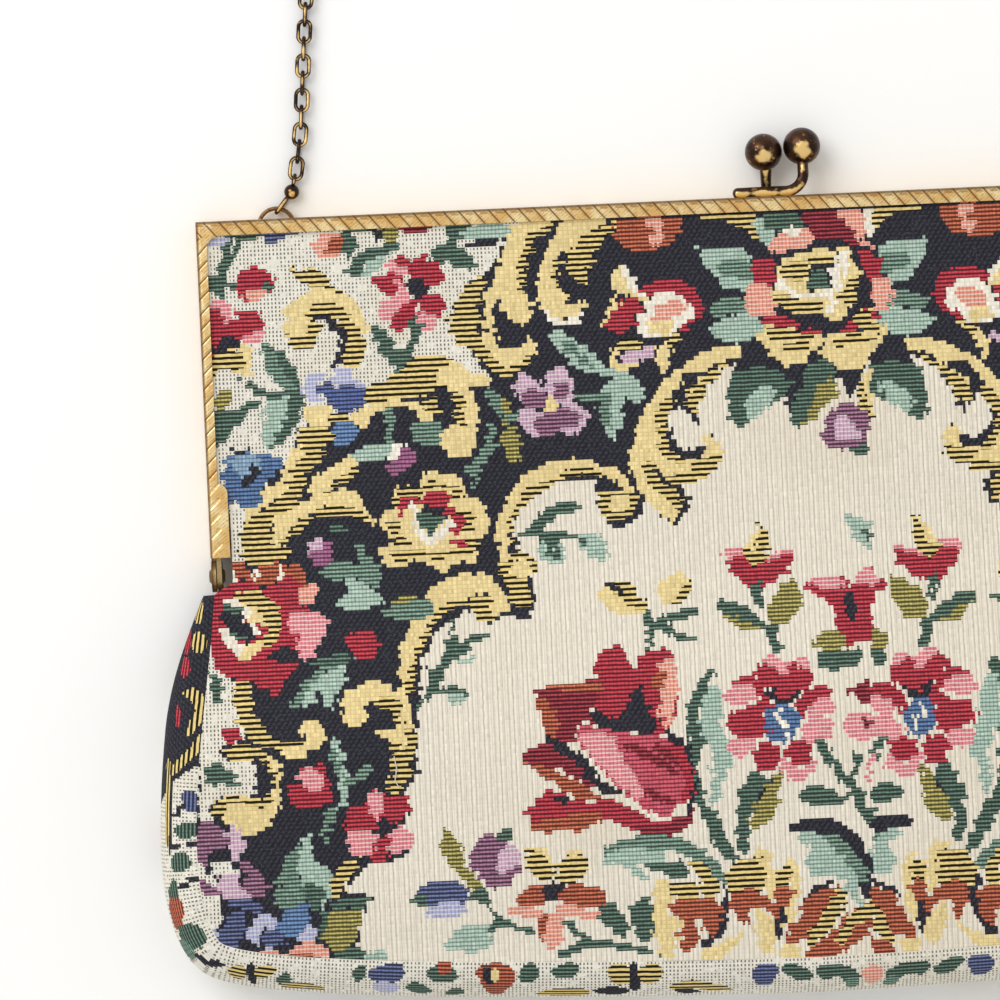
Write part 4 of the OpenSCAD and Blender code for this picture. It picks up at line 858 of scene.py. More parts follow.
    ("gold_lined", [846, 284, 858, 276, 858, 292, 850, 306, 842, 300]),
    ("snow", [774, 282, 784, 280, 794, 290, 806, 292, 830, 290, 828, 296, 806, 298, 788, 294]),
    ("snow", [832, 266, 840, 252, 850, 250, 846, 270, 838, 296, 832, 314, 826, 308, 832, 290]),
    ("black", [808, 272, 818, 264, 832, 266, 832, 286, 820, 290, 806, 290]),
    ("green", [808, 274, 826, 270, 828, 286, 808, 290]),
    ("gold", [756, 334, 764, 326, 780, 326, 800, 330, 818, 332, 822, 340, 812, 352, 798, 364, 784, 366,
        772, 356, 762, 344]),
    ("gold_lined", [762, 330, 780, 328, 800, 332, 816, 334, 806, 342, 790, 340, 770, 338]),
    ("gold_lined", [784, 346, 800, 342, 812, 346, 800, 352, 788, 352]),
    ("gold", [824, 344, 830, 332, 846, 332, 864, 332, 880, 334, 880, 352, 870, 358, 858, 368, 842, 370,
        830, 362, 824, 352]),
    ("gold_lined", [836, 340, 850, 334, 880, 336, 870, 344, 850, 346, 840, 350]),
    ("crimson", [800, 330, 820, 328, 822, 334, 806, 336]),
    ("gold_lined", [855, 312, 880, 310, 880, 330, 858, 328]),
    ("gold", [862, 376, 872, 368, 880, 366, 880, 430, 872, 426, 868, 410, 860, 400]),
    ("gold_lined", [856, 384, 864, 380, 864, 396, 870, 410, 876, 428, 868, 420, 860, 404]),
    ("green", [730, 376, 744, 370, 762, 366, 782, 372, 790, 382, 786, 396, 776, 404, 764, 408, 752, 418,
        742, 426, 732, 424, 728, 404]),
    ("mint", [744, 412, 748, 400, 760, 388, 772, 384, 774, 396, 766, 408, 752, 420]),
    ("green", [790, 412, 796, 396, 802, 380, 810, 366, 822, 358, 834, 366, 838, 380, 834, 396, 822, 410,
        806, 420, 796, 430]),
    ("olive", [812, 404, 818, 388, 832, 376, 838, 392, 826, 408, 812, 420, 802, 424]),
    ("mauve", [822, 432, 826, 418, 836, 408, 850, 402, 862, 408, 868, 420, 868, 438, 860, 446, 846, 450,
        832, 448, 824, 442]),
    ("lilac", [834, 430, 836, 418, 846, 416, 856, 426, 862, 436, 850, 440, 840, 440]),
    ("green", [850, 448, 862, 444, 870, 448, 866, 456, 854, 454]),
    # Red and white flower
    ("gold", [612, 288, 614, 272, 618, 264, 626, 270, 634, 282, 642, 292, 648, 298, 634, 300, 622, 294]),
    ("snow", [618, 264, 624, 266, 636, 282, 646, 296, 638, 294, 626, 280]),
    ("crimson", [640, 290, 650, 284, 664, 278, 680, 280, 694, 286, 698, 296, 690, 300, 676, 294, 660, 292,
        650, 298]),
    ("crimson", [684, 300, 696, 294, 702, 302, 700, 316, 692, 324, 682, 334, 678, 324, 688, 312]),
    ("crimson", [618, 302, 630, 298, 642, 302, 638, 314, 634, 326, 620, 334, 608, 330, 604, 322, 614,
        312]),
    ("gold", [606, 312, 612, 298, 620, 296, 616, 310, 608, 322, 602, 326]),
    ("snow", [638, 326, 642, 310, 652, 296, 664, 290, 678, 294, 690, 304, 694, 314, 684, 324, 672, 334,
        656, 338, 644, 336]),
    ("coral", [652, 318, 656, 306, 672, 300, 684, 304, 680, 314, 666, 320, 654, 322]),
    ("gold", [648, 326, 660, 320, 674, 322, 670, 334, 656, 334]),
    ("gold", [656, 352, 666, 340, 672, 334, 684, 336, 676, 344, 670, 354, 666, 368, 662, 376, 658, 366]),
    ("gold_lined", [668, 336, 682, 334, 678, 344, 668, 350]),
    ("gold_lined", [612, 346, 624, 338, 640, 342, 636, 350, 620, 352]),
    ("gold", [612, 368, 612, 348, 620, 350, 618, 362, 636, 362, 634, 370, 622, 372]),
    ("lilac", [618, 360, 626, 354, 642, 350, 656, 346, 650, 356, 636, 362]),
    # Big scroll at the top of the cream
    ("gold", [740, 346, 724, 348, 706, 350, 692, 358, 678, 368, 664, 380, 654, 396, 644, 410, 638, 428,
        640, 446, 648, 458, 658, 468, 672, 478, 692, 482, 706, 474, 718, 462, 722, 450, 716, 438, 708,
        434, 702, 444, 706, 450, 698, 458, 684, 460, 672, 456, 664, 444, 660, 430, 660, 416, 666, 404,
        676, 392, 684, 382, 690, 372, 702, 372, 706, 380, 700, 392, 696, 404, 698, 416, 690, 408, 684,
        398, 688, 388, 700, 380, 712, 368, 726, 360, 740, 356]),
    ("gold_lined", [656, 418, 662, 404, 672, 398, 674, 410, 668, 420, 664, 432, 668, 444, 676, 454, 690,
        462, 704, 458, 720, 452, 720, 464, 704, 478, 690, 484, 674, 484, 664, 476, 678, 474, 694, 470,
        690, 466, 674, 462, 662, 450, 658, 436]),
    ("gold_lined", [682, 402, 690, 390, 704, 378, 716, 368, 730, 360, 722, 372, 710, 382, 702, 398, 698,
        414, 690, 412]),
    ("black", [678, 380, 686, 372, 690, 376, 684, 392, 680, 408, 676, 396]),
    ("cream", [668, 424, 676, 408, 684, 410, 692, 420, 696, 430, 700, 444, 690, 450, 680, 446, 672, 436]),
    ("gold", [636, 446, 644, 452, 648, 462, 646, 474, 652, 484, 664, 492, 676, 502, 680, 512, 674, 520,
        670, 526, 664, 516, 652, 506, 642, 496, 636, 484, 630, 470, 628, 456]),
    ("gold_lined", [644, 464, 654, 464, 656, 476, 666, 484, 678, 494, 684, 504, 680, 514, 674, 506, 664,
        496, 652, 488, 644, 478]),
    ("black", [680, 490, 688, 496, 690, 508, 684, 514, 682, 500]),
    # Buds and sprigs on the cream
    ("pink", [722, 550, 742, 548, 760, 556, 790, 550, 788, 562, 770, 562, 750, 562, 730, 560]),
    ("crimson", [728, 560, 742, 556, 758, 562, 776, 558, 790, 552, 790, 568, 780, 578, 768, 586, 752, 588,
        740, 578, 730, 570]),
    ("gold_lined", [744, 552, 752, 536, 760, 522, 768, 532, 770, 548, 764, 560, 756, 566, 748, 560]),
    ("gold", [746, 548, 752, 534, 760, 524, 758, 540, 752, 552]),
    ("green", [752, 586, 762, 582, 762, 606, 754, 604]),
    ("olive", [768, 604, 778, 590, 790, 582, 800, 580, 802, 596, 798, 612, 790, 622, 776, 626, 768, 616]),
    ("green", [716, 602, 730, 600, 744, 606, 756, 614, 766, 622, 774, 632, 760, 628, 744, 624, 728, 618,
        718, 612]),
    ("olive", [720, 612, 734, 616, 750, 624, 762, 630, 746, 630, 732, 624]),
    ("green", [768, 628, 778, 626, 778, 640, 784, 650, 778, 654, 770, 644]),
    ("gold", [596, 590, 606, 588, 622, 594, 636, 600, 644, 606, 640, 614, 626, 616, 614, 612, 604, 604]),
    ("gold_lined", [602, 584, 616, 580, 630, 584, 640, 594, 646, 606, 640, 612, 628, 604, 616, 594]),
    ("black", [600, 584, 612, 584, 624, 594, 612, 590]),
    ("gold", [660, 596, 662, 582, 670, 574, 680, 572, 688, 580, 688, 590, 682, 600, 668, 604]),
    ("gold_lined", [672, 600, 682, 590, 690, 578, 690, 594, 680, 604, 668, 606]),
    ("green", [642, 616, 648, 610, 652, 622, 662, 616, 672, 612, 688, 608, 700, 606, 696, 614, 680, 620,
        668, 624, 690, 636, 694, 640, 676, 640, 662, 630, 654, 634, 652, 652, 648, 650, 646, 632]),
    # Right edge, where the photo ends
    ("crimson", [806, 584, 822, 580, 844, 578, 850, 590, 856, 574, 866, 568, 880, 576, 880, 636, 864, 640,
        850, 646, 844, 636, 834, 622, 832, 608, 820, 598, 810, 592]),
    ("pink", [812, 580, 830, 576, 842, 580, 840, 588, 820, 588]),
    ("pink", [854, 578, 864, 568, 876, 572, 876, 584, 862, 584]),
    ("black", [846, 596, 854, 594, 856, 612, 850, 622, 844, 612]),
    ("olive", [814, 640, 824, 630, 840, 632, 846, 644, 840, 652, 824, 652, 814, 648]),
    ("green", [814, 656, 830, 652, 850, 650, 862, 648, 860, 660, 846, 668, 832, 670, 820, 668]),
    ("maroon", [848, 690, 860, 682, 880, 680, 880, 706, 864, 702, 852, 696]),
    ("pink", [842, 720, 856, 712, 880, 716, 880, 736, 862, 740, 846, 732]),
    ("maroon", [862, 718, 880, 722, 880, 732, 866, 728]),
    ("pink", [866, 760, 876, 752, 880, 760, 880, 790, 870, 784]),
    ("mint", [846, 514, 860, 518, 880, 526, 880, 550, 866, 546, 852, 534]),
    ("green", [862, 530, 880, 528, 880, 546, 868, 540]),
]

# The eye over the table, in mm, and the draft as it is seen from there: the length of its step, where the
# frame's upper left corner lies on it, and the edge that it is drawn up to
eye_height = 1200.0
eye_x = -56.5
eye_depth = 55.4
tilt = 0.0454
draft_step = 0.19
draft_corner = (195, 222)
draft_edge = 872
rail_level = 8.6
frame_half = 112


def on_draft(x, d, z):
    # The draft is seen from the eye above the table, so raised cloth shows a little larger
    nearer = (eye_height - rail_level) / (eye_height - z)
    a = (eye_x + (x - eye_x) * nearer + frame_half) / draft_step
    b = (eye_depth + (d - eye_depth) * nearer) / draft_step
    level = math.sqrt(1 - tilt * tilt)
    return draft_corner[0] + level * a + tilt * b, draft_corner[1] - tilt * a + level * b


def turn_over(u, v, middle):
    # Past its drawn edge the draft is turned over about the middle line, and stays level with the weft
    turned = np.where(u > draft_edge, 2 * middle - u, u)
    return turned, v + tilt * (u - turned)


def inside(points, u, v):
    corners = np.array(points, float).reshape(-1, 2)
    before = np.roll(corners, 1, 0)
    after = np.roll(corners, -1, 0)
    later = np.roll(corners, -2, 0)
    rounded = [curve_between(before, corners, after, later, t) for t in (0, 1 / 3, 2 / 3)]
    outline = np.stack(rounded, 1).reshape(-1, 2)
    low, high = outline.min(0), outline.max(0)
    found = np.zeros(u.shape, bool)
    close = np.nonzero((u > low[0]) & (u < high[0]) & (v > low[1]) & (v < high[1]))[0]
    if not len(close):
        return found
    uu, vv = u[close], v[close]
    hit = np.zeros(len(close), bool)
    for (x1, y1), (x2, y2) in zip(outline, np.roll(outline, -1, 0)):
        if y1 == y2:
            continue
        hit ^= ((y1 > vv) != (y2 > vv)) & (uu < (x2 - x1) * (vv - y1) / (y2 - y1) + x1)
    found[close] = hit
    return found


def woven_colours(u, v, fields, ground):
    names = list(yarns)
    chosen = np.full(u.shape, names.index(ground))
    for name, points in fields:
        chosen[inside(points, u, v)] = names.index(name)
    thread = np.array([[*linear(yarns[n][0]), yarns[n][2]] for n in names])[chosen]
    line = np.array([[*linear(yarns[n][1]), yarns[n][3] / 4] for n in names])[chosen]
    return thread, line


def lay_cloth(name, points, quads, rows_and_ribs, thread, line):
    mesh = bpy.data.meshes.new(name)
    mesh.from_pydata(points, [], quads)
    for title, values in (("thread", thread), ("line", line)):
        layer = mesh.attributes.new(title, "FLOAT_COLOR", "CORNER")
        layer.data.foreach_set("color", np.repeat(values, 4, axis=0).astype(np.float32).ravel())
    counts = mesh.uv_layers.new(name="weave")
    counts.data.foreach_set("uv", rows_and_ribs[np.array(quads).ravel()].astype(np.float32).ravel())
    mesh.polygons.foreach_set("use_smooth", [True] * len(quads))
    cloth = bpy.data.objects.new(name, mesh)
    bpy.context.scene.collection.objects.link(cloth)
    return cloth


chance = np.random.default_rng(7)
x, d = np.meshgrid(np.arange(-mesh_half, mesh_half + 0.01, rib_step), np.arange(first_row, 148, row_pitch))
in_frame = rail_half - 0.9 - 3.2 * ease((d - arm_end) / 5)
reach = np.where(d < 70, in_frame, np.interp(d, side_seam[:, 1], side_seam[:, 0]))
open_out = ease((d - 68.5) / 2.6)
at_hinge = (rail_half - 4.1) * (1 - open_out) + (rail_half - 0.4) * open_out
reach = np.where((d > 66) & (d < seam_start), at_hinge, reach)
x = np.clip(x, -reach, reach)
d = np.minimum(d, np.interp(np.abs(x), bottom_seam[::-1, 0], bottom_seam[::-1, 1]))
z = cloth_height(x, d)
waves = 0.18 * np.sin(x / 9 + d / 14) * np.sin(d / 11 - x / 23)
z = z + waves * ease((rail_half - np.abs(x)) / 15) * ease(d / 20)
count = np.arange(x.size).reshape(x.shape)
quads = np.stack([count[1:, :-1], count[1:, 1:], count[:-1, 1:], count[:-1, :-1]], -1).reshape(-1, 4)
flat_x, flat_d, flat_z = x.ravel(), d.ravel(), z.ravel()
area = (flat_x[quads[:, 1]] - flat_x[quads[:, 0]] + flat_x[quads[:, 2]] - flat_x[quads[:, 3]]) * (
    flat_d[quads[:, 0]] - flat_d[quads[:, 3]] + flat_d[quads[:, 1]] - flat_d[quads[:, 2]]) / 4
quads = quads[area > 0.01]
used, quads = np.unique(quads, return_inverse=True)
quads = quads.reshape(-1, 4)
flat_x, flat_d, flat_z = flat_x[used], flat_d[used], flat_z[used]
u, v = on_draft(flat_x[quads].mean(1), flat_d[quads].mean(1), flat_z[quads].mean(1))
# Each weft float ends a little early or late, so the fields have ragged ends
pick = np.rint((flat_d[quads].mean(1) - first_row) / row_pitch).astype(int)
float_end = np.rint((flat_x[quads].mean(1) + mesh_half) / float_length).astype(int)
u = u + chance.normal(0, 1.2, len(u)) + chance.normal(0, 1.7, (200, 90))[pick, float_end]
# The line of turning slants a little, so that it completes the rose and the bud at the edge
middle = np.minimum(818 + 0.094 * (v - 290), 851)
u, v = turn_over(u, v, middle)
thread, line = woven_colours(u, v, drawn, "black")
# The yarn's shade changes from stitch to stitch, and less so on the white and cream grounds
uneven = np.where(np.isin(np.rint(line[:, 3:] * 4), (1, 2)), 0.035, 0.09)
thread[:, :3] *= 1 + uneven * chance.normal(0, 1, (len(thread), 1))
points = np.stack([flat_x, top_mm - flat_d, flat_z], -1) / 1000
front_cloth = lay_cloth("front_cloth", points.tolist(), quads.tolist(), np.stack(
    [flat_x / rib_pitch, (flat_d - first_row) / row_pitch], -1), thread, line)

# The weave itself: lines between the weft rows, ribs on the cream, pips on the white, twill and flecks on
# the black, and a little yellowing of the light yarns
tapestry, surface = start_finish("tapestry")
tree = tapestry.node_tree
place = add(tree, "ShaderNodeTexCoord").outputs["Object"]
counts = add(tree, "ShaderNodeUVMap", uv_map="weave").outputs[0]
wobble = add(tree, "ShaderNodeTexNoise", place, None, 700.0, 2.0).outputs[0]
fuzz = add(tree, "ShaderNodeTexNoise", place, None, 2600.0, 2.0).outputs[0]
ribs, rows = add(tree, "ShaderNodeSeparateXYZ", counts).outputs[:2]
shake = calc(tree, "MULTIPLY", calc(tree, "SUBTRACT", wobble, 0.5), 0.28)
rows = calc(tree, "ADD", rows, shake)
ribs = calc(tree, "ADD", ribs, shake)
row_edge = near_line(tree, rows)
wide_edge = near_line(tree, calc(tree, "MULTIPLY", rows, 0.743))
rib_edge = near_line(tree, ribs)
fine_edge = near_line(tree, calc(tree, "MULTIPLY", ribs, 1.36))
thread_node = add(tree, "ShaderNodeVertexColor", layer_name="thread")
line_node = add(tree, "ShaderNodeVertexColor", layer_name="line")
yarn = thread_node.outputs[0]
between = line_node.outputs[0]
share = thread_node.outputs[1]
kind = calc(tree, "MULTIPLY", line_node.outputs[1], 4.0)


def is_kind(number):
    return calc(tree, "COMPARE", kind, float(number), 0.2)


edge_low = calc(tree, "SUBTRACT", 0.9, share)
wide = is_kind(0.5)
line_edge = calc(tree, "ADD", calc(tree, "MULTIPLY", row_edge, calc(tree, "SUBTRACT", 1.0, wide)), calc(
    tree, "MULTIPLY", wide_edge, wide))
lined = add(tree, "ShaderNodeMapRange", line_edge, edge_low, calc(tree, "ADD", edge_low, 0.22),
            interpolation_type="SMOOTHSTEP").outputs[0]
lined = calc(tree, "MULTIPLY", lined, calc(tree, "ADD", calc(tree, "MULTIPLY", is_kind(0), 0.85), wide))
pip = calc(tree, "MULTIPLY", fade(tree, fine_edge, 0.45, 0.75), fade(tree, row_edge, 0.75, 0.4))
pip = calc(tree, "MULTIPLY", calc(tree, "MULTIPLY", pip, fade(tree, wobble, 0.36, 0.48)), is_kind(2))
groove = calc(tree, "MULTIPLY", fade(tree, rib_edge, 0.55, 1.0), calc(tree, "MULTIPLY", is_kind(1), 0.42))
speck = calc(tree, "MULTIPLY", fade(tree, fuzz, 0.56, 0.7), calc(tree, "MULTIPLY", is_kind(3), 0.32))
slant = calc(tree, "ADD", calc(tree, "MULTIPLY", ribs, 0.9), calc(tree, "MULTIPLY", rows, 0.5))
twill = near_line(tree, slant)
twill = calc(tree, "MULTIPLY", fade(tree, twill, 0.25, 0.85), fade(tree, row_edge, 0.9, 0.4))
speck = calc(tree, "MAXIMUM", speck, calc(tree, "MULTIPLY", twill, calc(tree, "MULTIPLY", is_kind(3), 0.2)))
grid = calc(tree, "MAXIMUM", fade(tree, rib_edge, 0.6, 1.0), fade(tree, row_edge, 0.6, 1.0))
grid = calc(tree, "MULTIPLY", grid, calc(tree, "MULTIPLY", is_kind(4), 0.5))
dark = calc(tree, "MAXIMUM", lined, calc(tree, "MAXIMUM", calc(tree, "MULTIPLY", pip, 0.9), calc(
    tree, "MAXIMUM", groove, calc(tree, "MAXIMUM", speck, grid))))
shade = blend(tree, dark, yarn, between)
crossed = calc(tree, "ADD", is_kind(0), calc(tree, "MULTIPLY", is_kind(1), 0.5))
strand = calc(tree, "MULTIPLY", fade(tree, fine_edge, 0.45, 0.95), calc(tree, "MULTIPLY", crossed, 0.34))
shade = blend(tree, strand, shade, linear("2A2622"))
light_yarn = calc(tree, "ADD", is_kind(1), calc(tree, "ADD", is_kind(2), is_kind(4)))
stain = add(tree, "ShaderNodeTexNoise", place, None, 35.0, 4.0).outputs[0]
aged = calc(tree, "MULTIPLY", fade(tree, stain, 0.45, 0.75), calc(tree, "MULTIPLY", light_yarn, 0.14))
shade = blend(tree, aged, shade, linear("B7A178"))
tree.links.new(shade, surface.inputs["Base Color"])
surface.inputs["Roughness"].default_value = 0.92
surface.inputs["Specular IOR Level"].default_value = 0.15
relief = calc(tree, "SUBTRACT", calc(tree, "MULTIPLY", fuzz, 0.5), calc(tree, "ADD", calc(
    tree, "MULTIPLY", rib_edge, 0.45), calc(tree, "MULTIPLY", row_edge, 0.3)))
tree.links.new(add(tree, "ShaderNodeBump", 0.38, 0.0003, None, relief).outputs[0], surface.inputs["Normal"])

front_cloth.data.materials.append(tapestry)
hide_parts("front_panel_upper", "front_panel_lower")
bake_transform(front_cloth)


# Gusset. One long strip of the same tapestry, sewn to the front and back cloths from hinge to hinge. It bows
# outwards, so its upper half shows round the edge of the bag. The pattern repeats on the way to the back.

bulge = 7
steps_round = 44
repeat_length = 10
repeat_shift = 26
shown_share = 0.8
mirror_from = 104

right_seam = np.concatenate([side_seam[:-1:2], bottom_seam[::2]])
right_seam[-1] = (0, panel_end)
seam = np.concatenate([right_seam * (-1, 1), right_seam[-2::-1]])
ahead = np.roll(seam, -1, 0) - np.roll(seam, 1, 0)
ahead[0], ahead[-1] = seam[1] - seam[0], seam[-1] - seam[-2]
ahead /= np.linalg.norm(ahead, axis=1)[:, None]
outward = np.stack([-ahead[:, 1], ahead[:, 0]], -1)
outward[0], outward[-1] = (-1, 0), (1, 0)
at_bottom = ease((seam[:, 1] - panel_end + 9) / 5)
at_side = np.sin(np.pi / 2 * np.minimum(1, (seam[:, 1] - hinge_depth + 2) / 32))
swell = bulge * at_side * (1 - at_bottom) + bulge * at_bottom
along = np.concatenate([[0], np.cumsum(np.linalg.norm(np.diff(seam, axis=0), axis=1))])
even = np.linspace(0, along[-1], int(along[-1] / rib_step))
seam = np.stack([np.interp(even, along, seam[:, k]) for k in (0, 1)], -1)
outward = np.stack([np.interp(even, along, outward[:, k]) for k in (0, 1)], -1)
swell = np.interp(even, along, swell)
along = even
turn = np.linspace(0, np.pi, steps_round + 1)
high = cloth_height(seam[:, 0], seam[:, 1])
reach = (np.maximum(swell, 0.25)[:, None] + 0.3) * np.sin(turn)
flat = seam[:, None, :] + outward[:, None, :] * reach[:, :, None]
z = high[:, None] / 2 * (1 + np.cos(turn))
points = np.stack([flat[:, :, 0], top_mm - flat[:, :, 1], z], -1)
count = np.arange(z.size).reshape(z.shape)
quads = np.stack([count[:-1, :-1], count[:-1, 1:], count[1:, 1:], count[1:, :-1]], -1).reshape(-1, 4)
round_run = np.linalg.norm(np.diff(np.stack([reach, z], -1), axis=1), axis=2)
round_run = np.concatenate([np.zeros((len(seam), 1)), np.cumsum(round_run, axis=1)], 1)
# The pattern runs round the bow at the scale that it shows from above, and starts again after each repeat
shown_run = round_run * shown_share
repeat = np.floor(shown_run / repeat_length).astype(int)
row = np.minimum(np.arange(len(seam))[:, None] + repeat_shift * repeat, len(seam) - 1)
drawn_at = seam[row] + outward[row] * (shown_run - repeat_length * repeat)[:, :, None]
drawn_x = np.where(drawn_at[:, :, 0] > mirror_from, -drawn_at[:, :, 0], drawn_at[:, :, 0])
u, v = on_draft(drawn_x.ravel(), drawn_at[:, :, 1].ravel(), high[row].ravel())
u, v = turn_over(u[quads[:, 0]], v[quads[:, 0]], draft_edge)
strip = [
    ("black", [140, 560, 214, 560, 214, 752, 196, 766, 170, 784, 140, 790]),
    ("gold_lined", [193, 606, 201, 600, 206, 612, 200, 624, 194, 618]),
    ("crimson", [184, 636, 190, 630, 194, 642, 190, 654, 184, 650]),
    ("gold_lined", [194, 636, 202, 630, 209, 640, 204, 652, 197, 650]),
    ("crimson", [184, 658, 190, 656, 194, 668, 188, 678, 183, 672]),
    ("gold_lined", [187, 692, 198, 687, 206, 698, 205, 716, 197, 730, 188, 736, 193, 722, 198, 708, 194,
        699]),
    ("crimson", [178, 708, 183, 706, 185, 720, 180, 726]),
    ("gold_lined", [200, 734, 207, 738, 200, 752, 188, 764, 174, 776, 170, 770, 184, 756, 194, 746]),
    ("gold_lined", [164, 764, 171, 764, 172, 800, 170, 840, 164, 840]),
    ("black", [172, 764, 175, 790, 174, 830, 172, 862, 170, 840, 172, 800]),
    ("navy", [186, 792, 196, 790, 201, 802, 196, 812, 188, 808]),
    ("green", [178, 826, 194, 820, 200, 830, 190, 838, 180, 836]),
    ("green", [172, 858, 186, 850, 194, 862, 184, 872, 174, 868]),
    ("green", [166, 888, 176, 878, 182, 892, 174, 902, 166, 900]),
    ("black", [180, 806, 187, 803, 188, 807, 181, 810]),
    ("black", [176, 813, 184, 811, 185, 815, 177, 817]),
    ("black", [190, 841, 203, 839, 203, 843, 191, 845]),
    ("black", [174, 845, 184, 843, 184, 847, 175, 848]),
    ("black", [190, 876, 206, 874, 206, 878, 191, 880]),
    ("black", [180, 884, 190, 882, 191, 886, 181, 888]),
    ("rust", [163, 904, 176, 896, 186, 904, 184, 922, 172, 930, 163, 922]),
    ("green", [178, 926, 198, 922, 208, 936, 202, 946, 186, 946, 176, 938]),
    ("sage", [170, 944, 184, 940, 196, 950, 188, 962, 174, 958]),
    ("black", [196, 952, 212, 954, 226, 962, 214, 964, 200, 960]),
    ("gold_lined", [228, 964, 242, 962, 246, 972, 238, 980, 228, 974]),
    ("black", [246, 962, 253, 962, 254, 984, 248, 984]),
    ("gold_lined", [254, 966, 266, 962, 276, 966, 268, 974, 256, 976]),
    ("green", [276, 974, 286, 968, 290, 978, 282, 986, 276, 984]),
    ("gold_lined", [278, 984, 296, 980, 320, 986, 322, 994, 300, 992, 282, 990]),
    ("green", [352, 968, 362, 962, 364, 974, 354, 980]),
    ("navy", [366, 970, 376, 964, 400, 962, 402, 974, 390, 980, 372, 978]),
    ("lavender", [372, 982, 384, 978, 398, 984, 392, 996, 376, 994]),
    ("green", [404, 984, 414, 978, 424, 984, 432, 992, 420, 996, 408, 992]),
    ("green", [426, 968, 440, 962, 452, 966, 456, 976, 440, 980, 428, 976]),
    ("rust", [436, 962, 450, 962, 448, 970, 438, 970]),
    ("green", [444, 992, 456, 986, 464, 992, 456, 1000, 446, 1000]),
    ("rust", [474, 968, 484, 963, 500, 962, 514, 968, 512, 980, 504, 990, 500, 998, 490, 996, 482, 986,
        478, 976]),
    ("black", [482, 966, 490, 966, 492, 980, 484, 980]),
    ("gold", [490, 968, 496, 966, 498, 976, 492, 978]),
    ("green", [520, 966, 532, 962, 538, 972, 528, 980, 518, 976]),
    ("green", [548, 968, 564, 962, 578, 964, 572, 974, 556, 974]),
    ("gold_lined", [534, 996, 552, 988, 576, 986, 590, 992, 580, 1002, 552, 1002]),
    ("gold_lined", [606, 966, 622, 962, 630, 968, 628, 980, 614, 982, 608, 974]),
    ("black", [628, 964, 636, 964, 638, 988, 630, 990]),
    ("gold_lined", [638, 966, 654, 962, 662, 970, 652, 980, 640, 978]),
    ("black", [592, 990, 612, 984, 630, 990, 622, 998, 602, 998]),
    ("gold_lined", [668, 984, 690, 976, 706, 980, 726, 984, 732, 992, 708, 992, 690, 986, 676, 992]),
    ("black", [672, 990, 690, 988, 700, 994, 684, 998]),
    ("navy", [752, 966, 764, 962, 778, 964, 774, 976, 768, 984, 754, 980]),
    ("green", [780, 964, 796, 962, 812, 970, 806, 978, 790, 974]),
    ("green", [814, 966, 830, 962, 850, 964, 860, 974, 848, 982, 838, 974, 822, 976]),
    ("sage", [844, 978, 856, 974, 860, 986, 850, 990]),
    ("coral", [862, 966, 874, 962, 890, 966, 890, 984, 874, 986, 864, 978]),
]
thread, line = woven_colours(u, v, strip, "white")
thread[:, :3] *= chance.normal(1, 0.05, (len(thread), 1))
gusset_cloth = lay_cloth("gusset_cloth", (points.reshape(-1, 3) / 1000).tolist(), quads.tolist(), np.stack(
    [np.repeat(along, steps_round + 1) / rib_pitch, round_run.ravel() / row_pitch], -1), thread, line)
gusset_cloth.data.materials.append(tapestry)
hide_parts("gusset")
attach(gusset_cloth, "bag_body")


# Stray threads. Two thin white ends of yarn have worked loose and lie on the front, one low in the middle
# and one on the left.

yarn_radius = 0.1
yarn_lift = 0.3

for name, code, route in (
        ("stray_thread_low", "E8E2D4", [(6.3, 142.6), (7.6, 143.0), (8.9, 143.8), (9.6, 144.6)]),
        ("stray_thread_left", "CFCBC2", [(-78.6, 102.6), (-78.2, 105.0), (-78.6, 107.2), (-77.9, 108.6)])):
    way = np.array(route)
    fine = np.stack([np.interp(np.linspace(0, 3, 13), range(4), way[:, k]) for k in (0, 1)], -1)
    level = cloth_height(fine[:, 0], fine[:, 1]) + yarn_lift
    ring = np.linspace(0, 2 * np.pi, 6, endpoint=False)
    points = [(x + yarn_radius * np.cos(a), top_mm - d, h + yarn_radius * np.sin(a))
              for (x, d), h in zip(fine, level) for a in ring]
    quads = [(i * 6 + k, i * 6 + (k + 1) % 6, i * 6 + 6 + (k + 1) % 6, i * 6 + 6 + k)
             for i in range(12) for k in range(6)]
    mesh = bpy.data.meshes.new(name)
    mesh.from_pydata((np.array(points) / 1000).tolist(), [], quads)
    fluff, surface = start_finish(name)
    surface.inputs["Base Color"].default_value = (*linear(code), 1)
    surface.inputs["Roughness"].default_value = 0.9
    mesh.materials.append(fluff)
    strand = bpy.data.objects.new(name, mesh)
    bpy.context.scene.collection.objects.link(strand)
    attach(strand, "bag_body")


# Back cloth and lining. The back is plain cream tapestry with fine ribs, and the lining a beige plain weave.
# Neither shows while the bag lies shut on its back.

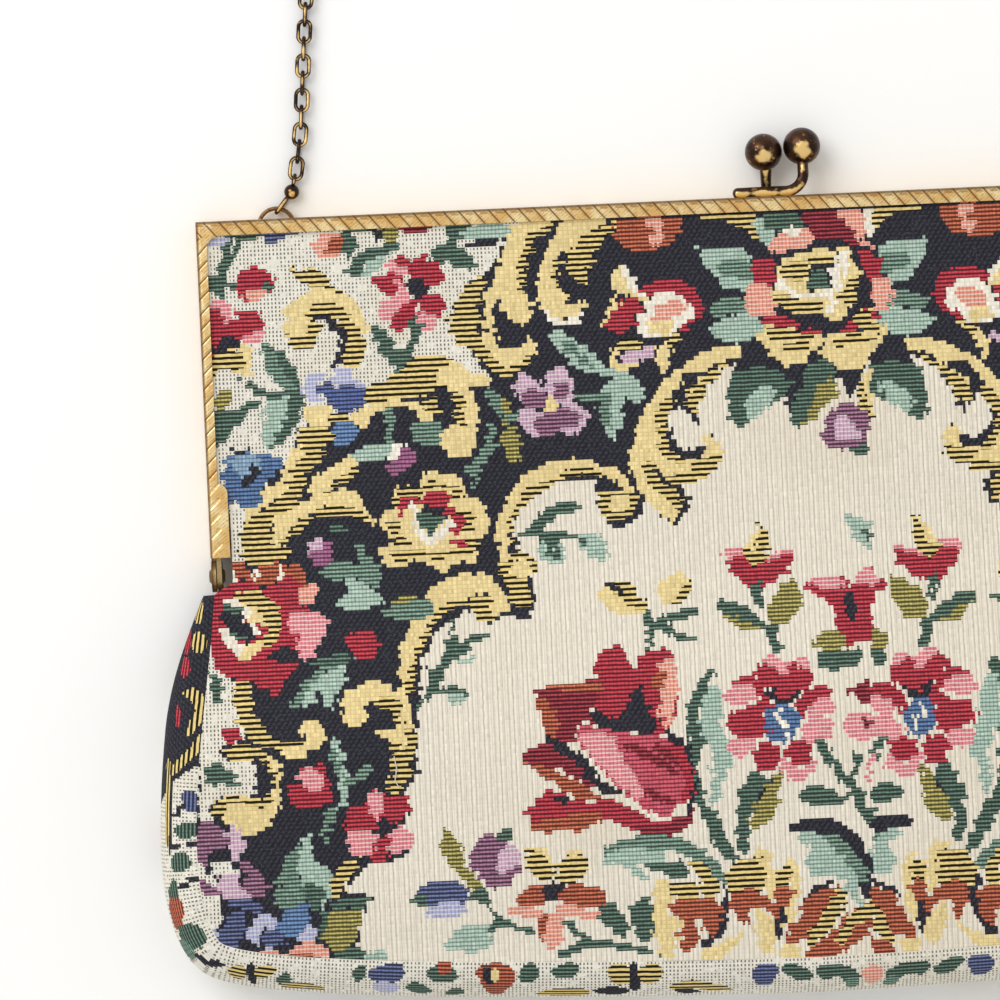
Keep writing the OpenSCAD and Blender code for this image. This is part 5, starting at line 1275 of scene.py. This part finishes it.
for name, shade_code, pitch, pieces in (
        ("back_cloth", "E2D8C0", 0.00096, ("back_panel",)),
        ("lining_cloth", "D2C3A0", 0.0006, ("lining_front_upper", "lining_front_lower", "lining_back",
                                            "lining_gusset"))):
    plain, surface = start_finish(name)
    tree = plain.node_tree
    place = add(tree, "ShaderNodeTexCoord").outputs["Object"]
    across, up = add(tree, "ShaderNodeSeparateXYZ", place).outputs[:2]
    warp = near_line(tree, calc(tree, "DIVIDE", across, pitch))
    weft = near_line(tree, calc(tree, "DIVIDE", up, pitch))
    mottled = add(tree, "ShaderNodeTexNoise", place, None, 60.0, 4.0).outputs[0]
    gaps = calc(tree, "MAXIMUM", fade(tree, warp, 0.5, 1.0), fade(tree, weft, 0.7, 1.0))
    gaps = calc(tree, "MULTIPLY", gaps, 0.35)
    tone = blend(tree, gaps, linear(shade_code), linear("8C7E62"))
    tone = blend(tree, calc(tree, "MULTIPLY", fade(tree, mottled, 0.5, 0.75), 0.2), tone, linear("A08C64"))
    tree.links.new(tone, surface.inputs["Base Color"])
    surface.inputs["Roughness"].default_value = 0.92
    surface.inputs["Specular IOR Level"].default_value = 0.15
    relief = add(tree, "ShaderNodeBump", 0.4, 0.0002, None, calc(tree, "ADD", warp, weft)).outputs[0]
    tree.links.new(relief, surface.inputs["Normal"])
    dress(pieces, plain)


# The photo's setting: a white sheet under soft, even light, with a window to the upper left, seen from
# straight above. The bag lies turned by a couple of degrees.

table_paint, surface = start_finish("white_sheet")
surface.inputs["Base Color"].default_value = (0.96, 0.96, 0.955, 1)
surface.inputs["Roughness"].default_value = 0.9
table_mesh = bpy.data.meshes.new("table")
table_mesh.from_pydata([(-3, -3, 0), (3, -3, 0), (3, 3, 0), (-3, 3, 0)], [], [(0, 1, 2, 3)])
table = bpy.data.objects.new("table", table_mesh)
bpy.context.scene.collection.objects.link(table)
table_mesh.materials.append(table_paint)

sky = bpy.data.worlds.new("room")
sky.use_nodes = True
sky.node_tree.nodes["Background"].inputs[0].default_value = (1.0, 0.99, 0.97, 1)
sky.node_tree.nodes["Background"].inputs[1].default_value = 0.76
bpy.context.scene.world = sky
window_light = bpy.data.lights.new("window", "AREA")
window_light.energy = 9.0
window_light.size = 0.9
window = bpy.data.objects.new("window", window_light)
window.location = (-0.75, 0.7, 1.0)
window.rotation_euler = (-window.location).to_track_quat("-Z", "Y").to_euler()
bpy.context.scene.collection.objects.link(window)
table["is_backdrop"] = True

lens = bpy.data.cameras.new("eye")
lens.sensor_width = 36
lens.lens = lens.sensor_width * (eye_height - rail_level) / (1000 * draft_step)
eye = bpy.data.objects.new("eye", lens)
eye.location = (eye_x / 1000, rail_top - eye_depth / 1000, eye_height / 1000)
eye.rotation_euler = (0, 0, -math.asin(tilt))
bpy.context.scene.collection.objects.link(eye)
bpy.context.scene.camera = eye
bpy.context.scene.view_settings.view_transform = "Standard"

low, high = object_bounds()
